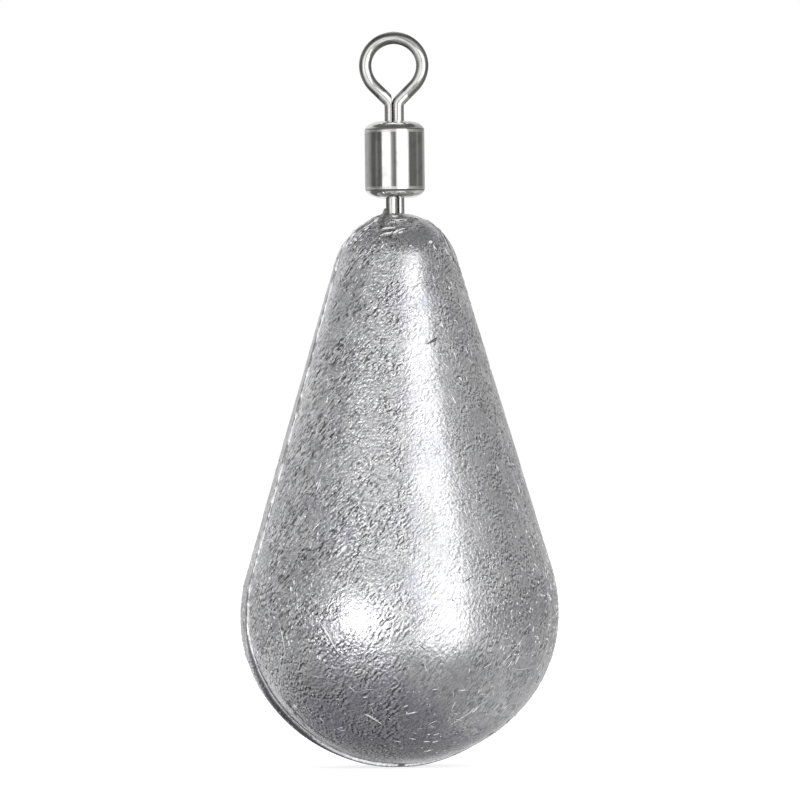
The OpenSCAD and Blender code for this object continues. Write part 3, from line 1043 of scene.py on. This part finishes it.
# how many, between which heights, the longest, tilts, thicknesses, and how far one may bend
handling = {
    "burrs": (1100, (2.5, 31.5), 0.6, (0.2, 2.6), (0.14, 0.34), 0.0),
    "lowScuffs": (160, (0.7, 5.6), 0.7, (-0.35, 0.35), (0.14, 0.32), 0.0),     # where the sinker drags
    "lowDots": (260, (0.8, 7.0), 0.16, (0.0, 3.1), (0.16, 0.34), 0.0),
    "bellySpecks": (1150, (6.5, 14.0), 0.26, (0.3, 2.2), (0.24, 0.50), 0.0),
    "hairlines": (110, (2.0, 29.0), 2.6, (-0.9, 2.2), (0.10, 0.16), 0.12),
    # dark nicks in the near-black lead: partly grime, partly painted shade
    "darkNicks": (520, (1.0, 32.0), 0.35, (0.0, 3.1), (0.12, 0.26), 0.0),
}
# how deep a stroke's middle lies under the skin, as a share of its thickness; below 0 it stands proud
sinking = {"strokes": 0.055, "specks": 0.0, "chips": -0.06}
# darkest and palest tone, how metallic, least roughness
threadMetals = {
    # pale and partly diffuse: rubbed lead with a painted highlight on the burrs and flash
    "rubbed_lead_highlight": ((0.74, 0.74, 0.75), (0.93, 0.93, 0.935), 0.4, 0.22),
    # near-white and hardly metallic: painted highlight on the torn chips and specks
    "torn_lead_highlight": ((0.86, 0.86, 0.87), (0.97, 0.97, 0.975), 0.1, 0.25),
    # near-black: grime and painted shade in pits and beside scratches
    "grime_and_shade_lead": ((0.09, 0.09, 0.09), (0.16, 0.155, 0.15), 0.15, 0.6),
}


def threadTree():
    tree, given = newTree("leadThread", [
        ("Thread Radius", "Float"), ("Bead Length", "Float"), ("Bead Depth", "Float"), ("Sides", "Int"),
        ("Seed", "Float"), ("Metal", "Material")])
    beads = addNode(tree, "ShaderNodeTexNoise", {
        "Vector": scaledBy(tree, addNode(tree, "GeometryNodeInputPosition").outputs[0], 1 / mm),
        "W": given["Seed"], "Scale": calc(tree, "DIVIDE", 1.0, given["Bead Length"]),
        "Detail": 3.0, "Roughness": 0.65}, noise_dimensions="4D")
    share = remap(tree, beads.outputs[0], 0.38, 0.54, 1.0, 0.0)
    thick = calc(tree, "SUBTRACT", 1.0, calc(tree, "MULTIPLY", share, given["Bead Depth"]))
    size = calc(tree, "MULTIPLY", thick, addNode(tree, "GeometryNodeInputRadius").outputs[0])
    # the scale reads the radius that is set here, so the beads' depth counts twice
    sized = addNode(tree, "GeometryNodeSetCurveRadius", {
        "Curve": given["Geometry"], "Radius": size}).outputs[0]
    ring = profileRing(tree, given["Sides"], calc(tree, "MULTIPLY", given["Thread Radius"], mm))
    thread = addNode(tree, "GeometryNodeCurveToMesh", {
        "Curve": sized, "Profile Curve": ring, "Scale": size, "Fill Caps": True}).outputs[0]
    endTree(tree, thread, given["Metal"])
    return tree


def seamRuns():
    # the flash's two threads, left and right, each a line of places and its thickness at each
    runs, radii = [], []
    heights = np.arange(0.35, 33.15, seamFlash["pitch"])
    thick = np.interp(heights, seamFlash["heights"], seamFlash["thicknesses"])
    for side, share in ((-1, 1.0), (1, seamFlash["rightShare"])):
        run = []
        for height in heights:
            along = side * (radiusAt(height) + 0.02) + lead["sideMismatch"] / 2
            place = seamAxis * along + frontAxis * (0.08 - seamWander(height))
            place[2] = leadBase + height
            run.append(place)
        runs.append(run)
        radii.append((share * thick).tolist())
    return runs, radii


# The marks that stand out in the photograph, in groups: the part of the picture that they were read from,
# then each mark's places in it, in pixels, and its thickness. "surface" holds azimuths and heights.

# the left and upper edge of each part in the photograph, and how much it was enlarged
pictureParts = {
    "whole": (0, 0, 1),
    "crownLeft": (335, 205, 8),
    "crownRight": (405, 205, 8),
    "bellyLeft": (235, 600, 6),
    "bellyRight": (460, 560, 6),
}
# where the line eye's middle is, its height over the lead's base, and how far the axis leans per pixel
pictureAxis = {"eyePixel": (393.7, 66.5), "eyeHeight": 42.417, "leanPerPixel": 0.01087}
# torn chips and ridges that shine, in a near-white lead that is painted highlight, of the belly first and
# then of the crown
chips = [
    ("surface", (
        (((-24.8, 12.68), (-23, 13.01), (-21.2, 13.36)), 1.5),)),
    ("whole", (
        (((320.5, 619.5), (324, 624.5), (328.5, 632), (333, 641), (339, 650.5)), 0.42),)),
    ("surface", (
        (((-29.8, 7.99), (-28.9, 7.84)), 0.75),)),
    ("whole", (
        (((312.2, 637.3), (313, 636.7)), 0.5), (((366, 711), (381, 721)), 0.5),
        (((373.6, 221.4), (377.9, 218.6)), 0.45), (((370, 225), (373.5, 222.5), (377.1, 220.7)), 0.5),
        (((358.6, 232.1), (364, 228.5), (370, 225)), 0.45), (((356.4, 237.1), (360.7, 232.9)), 0.5),
        (((357.9, 238.6), (363.6, 232.9)), 0.4), (((353.6, 239.6), (356.4, 241.4)), 0.8),
        (((350, 238.6), (355, 233.6)), 0.7), (((345.4, 247.1), (347.9, 242.9)), 0.5),
        (((349.3, 244.3), (351.4, 242.9)), 0.5), (((359.3, 242.1), (361.4, 240)), 0.45),
        (((363.6, 231.4), (367.9, 227.9)), 0.45), (((371.8, 239.3), (372.6, 239)), 0.5),
        (((378.2, 239.2), (379.2, 240)), 0.55), (((381, 243.4), (382, 243.8)), 0.5),
        (((384.3, 245.7), (386.4, 245)), 0.4), (((380, 249.3), (382.9, 245.7)), 0.4),
        (((379.3, 237.1), (382.9, 235), (388.6, 234.3), (391.4, 232.9)), 0.5),
        (((380, 230.7), (384.3, 229.3), (390, 229.3), (394.3, 228.6)), 0.45),
        (((392.1, 235), (397.1, 230.7)), 0.5), (((389, 216.5), (393, 217.5), (397, 217)), 0.4),
        (((391, 220.5), (396, 221.5), (401, 220.5)), 0.4),
        (((386.5, 225.5), (390, 222.8), (394, 223.5)), 0.35),
        (((395.5, 233.5), (399, 230.8), (404, 229.8)), 0.45), (((397, 234.5), (401.5, 233)), 0.4),
        (((427.5, 243.4), (430.5, 244.3)), 0.8), (((408, 247.6), (410.5, 246.8)), 0.4),
        (((431.5, 246), (433.5, 249.5), (435.5, 251.5)), 0.35),
        (((411, 216.8), (414.5, 218.8), (418.5, 219.5)), 0.4), (((437, 229), (441, 234.5)), 0.3),
        (((433, 227), (439, 233), (443, 240), (446, 247), (449, 253)), 0.3),)),
]
# burrs, wrinkles and scratches that shine, in a pale lead that is partly painted highlight
scratches = [
    ("surface", (
        (((2.1, 3.18), (7.7, 3.34)), 0.45),)),
    ("whole", (
        (((430, 687), (441, 686)), 0.35), (((457, 688.5), (468, 688)), 0.35),)),
    ("surface", (
        (((-40, 16.5), (-38.5, 17.5)), 0.35),)),
    ("whole", (
        (((331, 661.5), (333, 663.5)), 0.4), (((373.3, 653.6), (374, 652.8)), 0.45),
        (((453, 339.5), (460.5, 338)), 0.38),)),
    ("surface", (
        (((52.3, 25.84), (53, 25.84)), 0.6),)),
    ("whole", (
        (((454, 335.5), (459, 332.3), (461.5, 330.8), (461, 328.8)), 0.4),
        (((440, 340.5), (441.5, 336.5), (443.5, 331), (445, 328)), 0.3),
        (((439.5, 321.5), (441, 327.5), (442.5, 329.5)), 0.38), (((432, 317), (436, 320.5)), 0.34),
        (((435.5, 315), (437.5, 318)), 0.34), (((434, 314.5), (435.5, 312.5)), 0.34),
        (((445.6, 332.3), (446.4, 332.7)), 0.6), (((430.6, 306.3), (431.4, 306.7)), 0.6),
        (((437, 303), (439, 306)), 0.42), (((448.5, 345.5), (446, 346.5), (443.5, 346.5)), 0.4),
        (((466.9, 345.6), (467.7, 345.9)), 0.55), (((448.5, 283.3), (451, 284.5)), 0.45),
        (((447, 287.5), (448.3, 289), (448.5, 291)), 0.3), (((441, 284.5), (443, 282.5)), 0.38),
        (((435, 297.5), (437.5, 299.5), (439, 298.5)), 0.3), (((432.5, 285), (434.5, 288)), 0.34),
        (((452.5, 321), (455, 323)), 0.3),)),
    ("crownRight", (
        (((345, 400), (372, 450), (400, 500), (440, 560)), 0.3),
        (((300, 330), (318, 365), (330, 400)), 0.3),)),
    ("bellyRight", (
        (((240, 620), (300, 550)), 0.22), (((305, 545), (370, 460)), 0.2),
        (((320, 620), (345, 570)), 0.22), (((300, 650), (360, 655), (420, 648)), 0.2),
        (((248, 460), (290, 468)), 0.25), (((435, 95), (440, 115)), 0.45),
        (((512, 200), (518, 235)), 0.4), (((404, 382), (408, 402)), 0.45),
        (((448, 245), (455, 262)), 0.4), (((182, 415), (190, 398)), 0.45),
        (((196, 345), (204, 372)), 0.4), (((205, 270), (212, 250), (240, 215)), 0.3),
        (((290, 300), (300, 330), (292, 360)), 0.28), (((420, 290), (426, 312)), 0.4),)),
]
# pits, creases and nicks, in a near-black lead: grime, and painted shade along scratches and beside chips
pits = [
    ("surface", (
        (((0.2, 28.98), (2, 29.03)), 0.6), (((7.4, 6.2), (9, 6.15)), 0.7),
        (((57, 20.9), (60, 21.1)), 0.5), (((-33, 20.1), (-32.2, 20.4)), 0.7),
        (((18.4, 25.42), (23.1, 25.6), (25.9, 25.72), (28.9, 25.93), (34.2, 26.33)), 0.8),)),
    ("whole", (
        (((437, 341), (439, 340)), 0.6), (((453.5, 321), (456.5, 320.3)), 0.55),
        (((451, 323.5), (453, 322.8)), 0.45), (((443.5, 310.5), (448, 309)), 0.48),
        (((449.5, 307.5), (452.5, 304.5)), 0.32), (((436, 308), (439, 308.8), (441, 306.5)), 0.45),
        (((414.5, 288), (418, 285), (424, 284), (430, 283.7)), 0.32),
        (((434.5, 287), (436.5, 289.5), (439, 291.5)), 0.36), (((445.5, 327.5), (445.5, 331)), 0.4),
        (((453, 342), (454.5, 341.5)), 0.45), (((445.8, 321), (447.2, 322.3)), 0.38),
        (((449, 316.5), (450.5, 315.5)), 0.36), (((460, 316), (461.5, 314.5)), 0.38),
        (((384, 306.8), (388.5, 307.3)), 0.38), (((388, 297), (389.5, 298.5)), 0.38),
        (((428, 310), (434, 314.5)), 0.24), (((399.5, 311), (397, 317), (396, 324), (395.8, 331)), 0.2),
        (((334, 645), (337, 649.5), (339.5, 652.3)), 0.34), (((322, 625.5), (325, 630.5)), 0.26),
        (((361, 652), (360, 657)), 0.3), (((347.5, 646), (351, 646)), 0.36),
        (((304, 603.5), (307, 602.5)), 0.34), (((447.5, 284.5), (444, 281.5)), 0.34),
        (((354.6, 232.3), (359, 228.1), (365, 223.9)), 1), (((361.4, 228.8), (365.7, 225.2)), 0.6),
        (((380, 232.9), (385.7, 230.7), (392.9, 230.7), (395.7, 230)), 0.4),
        (((381, 238.6), (388, 236.2), (393, 234.6)), 0.35),
        (((360.5, 233.8), (366, 229.3), (371, 226.3)), 0.35), (((356, 234.5), (359.5, 231.3)), 0.4),
        (((413, 218.5), (417.5, 221)), 0.5), (((406, 219.5), (410, 222), (413.5, 220.8)), 0.45),)),
    ("surface", (
        (((-30, 33.45), (-14.5, 33.41), (7.6, 33.37)), 0.55),)),
    ("whole", (
        (((377.5, 220), (378.5, 224), (381.5, 226.5), (386, 226)), 0.45),)),
    ("surface", (
        (((-40, 32.95), (-36, 33.1), (-31.7, 33.17)), 0.7),)),
    ("whole", (
        (((441, 233), (444.5, 240)), 0.35), (((433.5, 245.5), (437, 250)), 0.45),)),
    ("crownLeft", (
        (((450, 117), (500, 113), (540, 118)), 0.3), (((440, 141), (500, 137), (570, 137)), 0.3),)),
    ("crownRight", (
        (((290, 230), (306, 265), (320, 310), (350, 380)), 0.28),
        (((352, 412), (378, 462), (400, 512)), 0.25), (((215, 328), (228, 345), (250, 368)), 0.4),
        (((250, 440), (300, 415)), 0.3), (((270, 500), (330, 440)), 0.3), (((290, 540), (345, 480)), 0.3),
        (((310, 560), (372, 520)), 0.3),)),
    ("bellyLeft", (
        (((310, 590), (330, 625)), 0.4), (((345, 660), (380, 705)), 0.35),
        (((390, 715), (425, 755)), 0.35),)),
    ("bellyRight", (
        (((12, 130), (50, 100), (100, 75)), 0.35), (((200, 262), (235, 270)), 0.3),)),
]


def outlineRadius(height):
    # the pear's exact radius: base, lower belly, belly, flank and nose
    slope = math.radians(flankSlope)
    flankFoot = bellyHeight + bodyRadius * math.sin(slope)
    if height < baseRadius + baseRadius * math.sin(math.radians(baseMeet)):
        return math.sqrt(max(0, baseRadius ** 2 - (baseRadius - height) ** 2))
    if height < bellyHeight:
        return lead["bellyTuck"] + math.sqrt(lowerRadius ** 2 - (bellyHeight - height) ** 2)
    if height < flankFoot:
        return math.sqrt(bodyRadius ** 2 - (height - bellyHeight) ** 2)
    if height < noseHeight + noseRadius * math.sin(slope):
        return bodyRadius * math.cos(slope) - (height - flankFoot) * math.tan(slope)
    return math.sqrt(max(0, noseRadius ** 2 - (height - noseHeight) ** 2))


def onSurface(part, x, y):
    # azimuth and height of a place in the picture, no finer than it can be read
    left, top, enlarged = pictureParts[part]
    eyeX, eyeY = pictureAxis["eyePixel"]
    x, y = left + x / enlarged - eyeX, top + y / enlarged - eyeY
    height = pictureAxis["eyeHeight"] - y / camera["pixelsPerMillimetre"]
    aside = (x - y * pictureAxis["leanPerPixel"]) / camera["pixelsPerMillimetre"]
    out = outlineRadius(height)
    share = max(-1.0, min(1.0, aside / out)) if out else 1.0
    return round(math.degrees(math.asin(share)), 1), round(height, 2)


def readOff(groups):
    marks = []
    for part, entries in groups:
        for places, thick in entries:
            if part != "surface":
                places = [onSurface(part, x, y) for x, y in places]
            marks.append((places, thick))
    return marks


def strokeRuns(marks, sunk):
    # lines that follow the lead, thickest at their middles
    runs, radii = [], []
    for places, thick in marks:
        line = [np.array(place, float) for place in places]
        steps = 3 if len(line) < 4 else 2
        run = []
        for start, end in zip(line, line[1:]):
            run += [start + (end - start) * number / steps for number in range(steps)]
        run.append(line[-1])
        runs.append([onLead(azimuth, height, 0.002 - sunk * thick) for azimuth, height in run])
        bulge = [math.sin(math.pi * number / (len(run) - 1)) for number in range(len(run))]
        radii.append([thick * (0.35 + 0.65 * share) for share in bulge])
    return runs, radii


def scatterStrokes(picks, count, heights, longest, tilts, thicks, bend):
    made = []
    for number in range(count):
        azimuth, height, tilt = picks.uniform(-180, 180), picks.uniform(*heights), picks.uniform(*tilts)
        length, thick = longest * picks.uniform(0.2, 1.0) ** 1.5, picks.uniform(*thicks)
        aside = length * bend * picks.uniform(-1, 1)
        out = radiusAt(height)
        way = (math.cos(tilt) / out, math.sin(tilt))
        square = (-math.sin(tilt) / out, math.cos(tilt))
        steps = ((0, 0), (length / 2, aside), (length, 0)) if bend else ((0, 0), (length, 0))
        made.append(([(azimuth + math.degrees(far * way[0] + off * square[0]),
                       height + far * way[1] + off * square[1]) for far, off in steps], thick))
    return made


def makeThreads(name, runs, radii, material, form):
    made = runTree(pathCurve(name + "_path", runs, radii), leadThread, dict(form, Metal=material), name)
    keepInside(made, leadLow, topOfLead)
    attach(made, "weight")
    print(name, len(made.data.polygons), "faces")


def threadLead(name, lowTone, highTone, metal, lowRough):
    material, tree, shader = newMaterial(name)
    space = millimetreSpace(tree)
    fine = noiseOf(tree, space, 4.0, 3.0, 0.6)
    tone = blendColour(tree, remap(tree, fine, 0.35, 0.65, 0.0, 1.0), lowTone, highTone)
    bump = addNode(tree, "ShaderNodeBump", {"Strength": 0.6, "Distance": 0.02 * mm, "Height": fine})
    shader.inputs["Metallic"].default_value = metal
    tree.links.new(tone, shader.inputs["Base Color"])
    tree.links.new(remap(tree, fine, 0.3, 0.7, lowRough, lowRough + 0.18), shader.inputs["Roughness"])
    tree.links.new(bump.outputs[0], shader.inputs["Normal"])
    return material


leadThread = threadTree()
shiny, bright, shadeAndGrime = (threadLead(name, *look) for name, look in threadMetals.items())
handlingPicks = np.random.default_rng(handlingSeed)
wear = {kind: scatterStrokes(handlingPicks, *values) for kind, values in handling.items()}
burrs = readOff(scratches) + wear["burrs"] + wear["lowScuffs"] + wear["lowDots"] + wear["hairlines"]
makeThreads("parting_flash", *seamRuns(), shiny, flash)
makeThreads("handling_burrs", *strokeRuns(burrs, sinking["strokes"]), shiny, burr)
# specks in the near-white lead: painted glints
makeThreads("torn_specks", *strokeRuns(wear["bellySpecks"], sinking["specks"]), bright, burr)
# pits and nicks in near-black lead: grime and painted shade
makeThreads("pits_and_shade_lines", *strokeRuns(readOff(pits) + wear["darkNicks"], sinking["strokes"]), shadeAndGrime, burr)
# chips in the near-white lead: painted highlight
makeThreads("torn_flash", *strokeRuns(readOff(chips), sinking["chips"]), bright, torn)


# Studio: a tall softbox ahead to the right, a small one to the left that lights only the lead, one behind
# and above, the room that the plating mirrors, and a pale floor

studio = {
    "centre": Vector((0, 0, -20 * mm)),
    "distance": 0.6,
    "floorSize": 3.0,
    "darkSide": Vector((-0.30, 0.20, -0.93)).normalized(),    # the dark table under the sinker
    "roomFill": 0.7,
    "floorTone": 0.8,
    "floorGlow": 0.68,
    # azimuth to the right of the camera, rise, span across, span up, brightness, what alone it lights
    "boxes": (
        (30.5, 7.8, 37.0, 73.0, 1.35),
        (-30.0, -5.6, 34.0, 22.0, 3.6, "cast_lead"),
        (180.0, 62.0, 32.0, 30.0, 1.2),
    ),
    "leadPieces": ("lead_casting", "parting_flash", "handling_burrs", "torn_specks", "pits_and_shade_lines",
                   "torn_flash"),
}
# the room that the plating mirrors: degrees to the right of the camera, brightness
room = {
    # narrow dark cards at eye level, as the barrel's stripes show them
    "cards": (
        (-180, 0.62), (-160, 0.62), (-156, 0.50), (-125, 0.42), (-106, 0.24), (-96, 0.11), (-84, 0.11),
        (-74, 0.24), (-66, 0.12), (-52, 0.17), (-48, 1.35), (-18, 1.35), (-13, 0.60), (-9, 0.31), (-6, 0.34),
        (-2, 0.2), (4, 0.17), (7.5, 0.98), (55, 0.98), (58.5, 0.15), (88, 0.14), (98, 0.26), (108, 0.15),
        (128, 0.16), (140, 0.38), (156, 0.42), (160, 0.6), (180, 0.62)),
    # over and under them pale walls
    "walls": (
        (-180, 0.85), (-150, 0.88), (-125, 0.80), (-104, 0.44), (-82, 0.31), (-68, 0.40), (-54, 0.61),
        (-38, 0.96), (-20, 1.04), (8, 0.90), (20, 0.95), (52, 0.90), (60, 0.62), (90, 0.42), (115, 0.36),
        (132, 0.38), (150, 0.5), (165, 0.65), (180, 0.85)),
    # low down the table's surround, lighter to the right behind
    "ground": (
        (-180, 0.19), (-150, 0.22), (-125, 0.29), (-95, 0.30), (-60, 0.34), (0, 0.33), (40, 0.41),
        (66, 0.31), (82, 0.33), (100, 0.41), (115, 0.50), (130, 0.62), (142, 0.60), (152, 0.40),
        (168, 0.24), (180, 0.19)),
    "table": (0.13, 0.127, 0.15),
    "ceiling": (0.14, 0.14, 0.14),
    # where one passes into the next: the view's rise, from -1 straight down to 1 straight up
    "cardsToWalls": (0.05, 0.17),
    "groundToWalls": (-0.54, -0.30),
    "wallsToCeiling": (0.6, 0.72),
    "edgeOfTable": (0.68, 0.88),     # as the cosine of the angle from darkSide
    # from one rise to another, and the brightness there as a share
    "lowWallsGain": (-0.20, -0.04, 1.09, 1.0),
    "groundGain": (-0.95, -0.55, 0.84, 1.15),
}


def softbox(number, azimuth, rise, across, high, brightness, only=None):
    reach = studio["distance"]
    data = bpy.data.lights.new(f"softbox_{number}", "AREA")
    data.shape = "RECTANGLE"
    data.size = 2 * reach * math.tan(math.radians(across / 2))
    data.size_y = 2 * reach * math.tan(math.radians(high / 2))
    data.energy = brightness * math.pi * data.size * data.size_y
    made = bpy.data.objects.new(data.name, data)
    side, up = math.radians(azimuth), math.radians(rise)
    away = Vector((math.sin(side) * math.cos(up), -math.cos(side) * math.cos(up), math.sin(up)))
    facing = away.to_track_quat("Z", "Y").to_matrix().to_4x4()
    made.matrix_world = Matrix.Translation(studio["centre"] + away * reach) @ facing
    made.visible_camera = False
    scene.collection.objects.link(made)
    if only:
        lit = bpy.data.collections.new("lit_" + only)
        for name in studio["leadPieces"]:
            lit.objects.link(bpy.data.objects[name])
        made.light_linking.receiver_collection = lit


def passing(tree, value, limits):
    return remap(tree, value, *limits, 0.0, 1.0, "SMOOTHSTEP")


def makeRoom():
    world = bpy.data.worlds.new("room")
    world.use_nodes = True
    scene.world = world
    tree = world.node_tree
    tree.nodes.clear()
    way = addNode(tree, "ShaderNodeTexCoord").outputs["Generated"]
    axes = axesOf(tree, way)
    level = axes[2]
    angle = calc(tree, "ARCTAN2", axes[0], calc(tree, "MULTIPLY", axes[1], -1.0))
    share = calc(tree, "MULTIPLY_ADD", angle, 0.5 / math.pi, 0.5)      # 0.5 is where the camera stands
    cards, walls, ground = (
        rampOf(tree, share, [(0.5 + degrees / 360, tone) for degrees, tone in room[layer]])
        for layer in ("cards", "walls", "ground"))
    besides = passing(tree, calc(tree, "ABSOLUTE", level), room["cardsToWalls"])
    mirrored = blendColour(tree, besides, cards, walls)
    mirrored = scaledBy(tree, mirrored, remap(tree, level, *room["lowWallsGain"]))
    ground = scaledBy(tree, ground, remap(tree, level, *room["groundGain"]))
    mirrored = blendColour(tree, passing(tree, level, room["groundToWalls"]), ground, mirrored)
    toTable = addNode(tree, "ShaderNodeVectorMath", {
        0: way, 1: studio["darkSide"]}, operation="DOT_PRODUCT").outputs["Value"]
    mirrored = blendColour(tree, passing(tree, toTable, room["edgeOfTable"]), mirrored, room["table"])
    mirrored = blendColour(tree, passing(tree, level, room["wallsToCeiling"]), mirrored, room["ceiling"])
    ray = addNode(tree, "ShaderNodeLightPath").outputs
    backdrop = blendColour(tree, ray["Is Camera Ray"], mirrored, (1.0, 1.0, 1.0))
    shown = calc(tree, "ADD", ray["Is Camera Ray"], ray["Is Glossy Ray"])
    shown = calc(tree, "ADD", shown, ray["Is Transmission Ray"], clamp=True)
    fill = addNode(tree, "ShaderNodeBackground", {
        "Color": (1, 1, 1, 1), "Strength": studio["roomFill"]}).outputs[0]
    seen = addNode(tree, "ShaderNodeBackground", {"Color": backdrop, "Strength": 1.0}).outputs[0]
    mixed = addNode(tree, "ShaderNodeMixShader", {0: shown, 1: fill, 2: seen}).outputs[0]
    tree.links.new(mixed, addNode(tree, "ShaderNodeOutputWorld").inputs[0])


def makeFloor():
    half, level = studio["floorSize"] / 2 / mm, cadBox[0].z / mm
    points = [(-half, -half, level), (half, -half, level), (half, half, level), (-half, half, level)]
    material, tree, shader = newMaterial("pale_floor")
    tree.nodes.remove(shader)
    matt = addNode(tree, "ShaderNodeBsdfDiffuse", {"Color": (*[studio["floorTone"]] * 3, 1)}).outputs[0]
    ray = addNode(tree, "ShaderNodeLightPath").outputs
    glow = addNode(tree, "ShaderNodeEmission", {
        "Strength": calc(tree, "MULTIPLY", ray["Is Camera Ray"], studio["floorGlow"])}).outputs[0]
    both = addNode(tree, "ShaderNodeAddShader", {0: matt, 1: glow}).outputs[0]
    tree.links.new(both, tree.nodes["Material Output"].inputs[0])
    floor = newPiece("floor", points, [(0, 1, 2, 3)], material)
    floor.visible_glossy = floor.visible_shadow = False


for number, box in enumerate(studio["boxes"]):
    softbox(number, *box)
makeRoom()
makeFloor()
scene.view_settings.view_transform = "Standard"
print("studio lit")
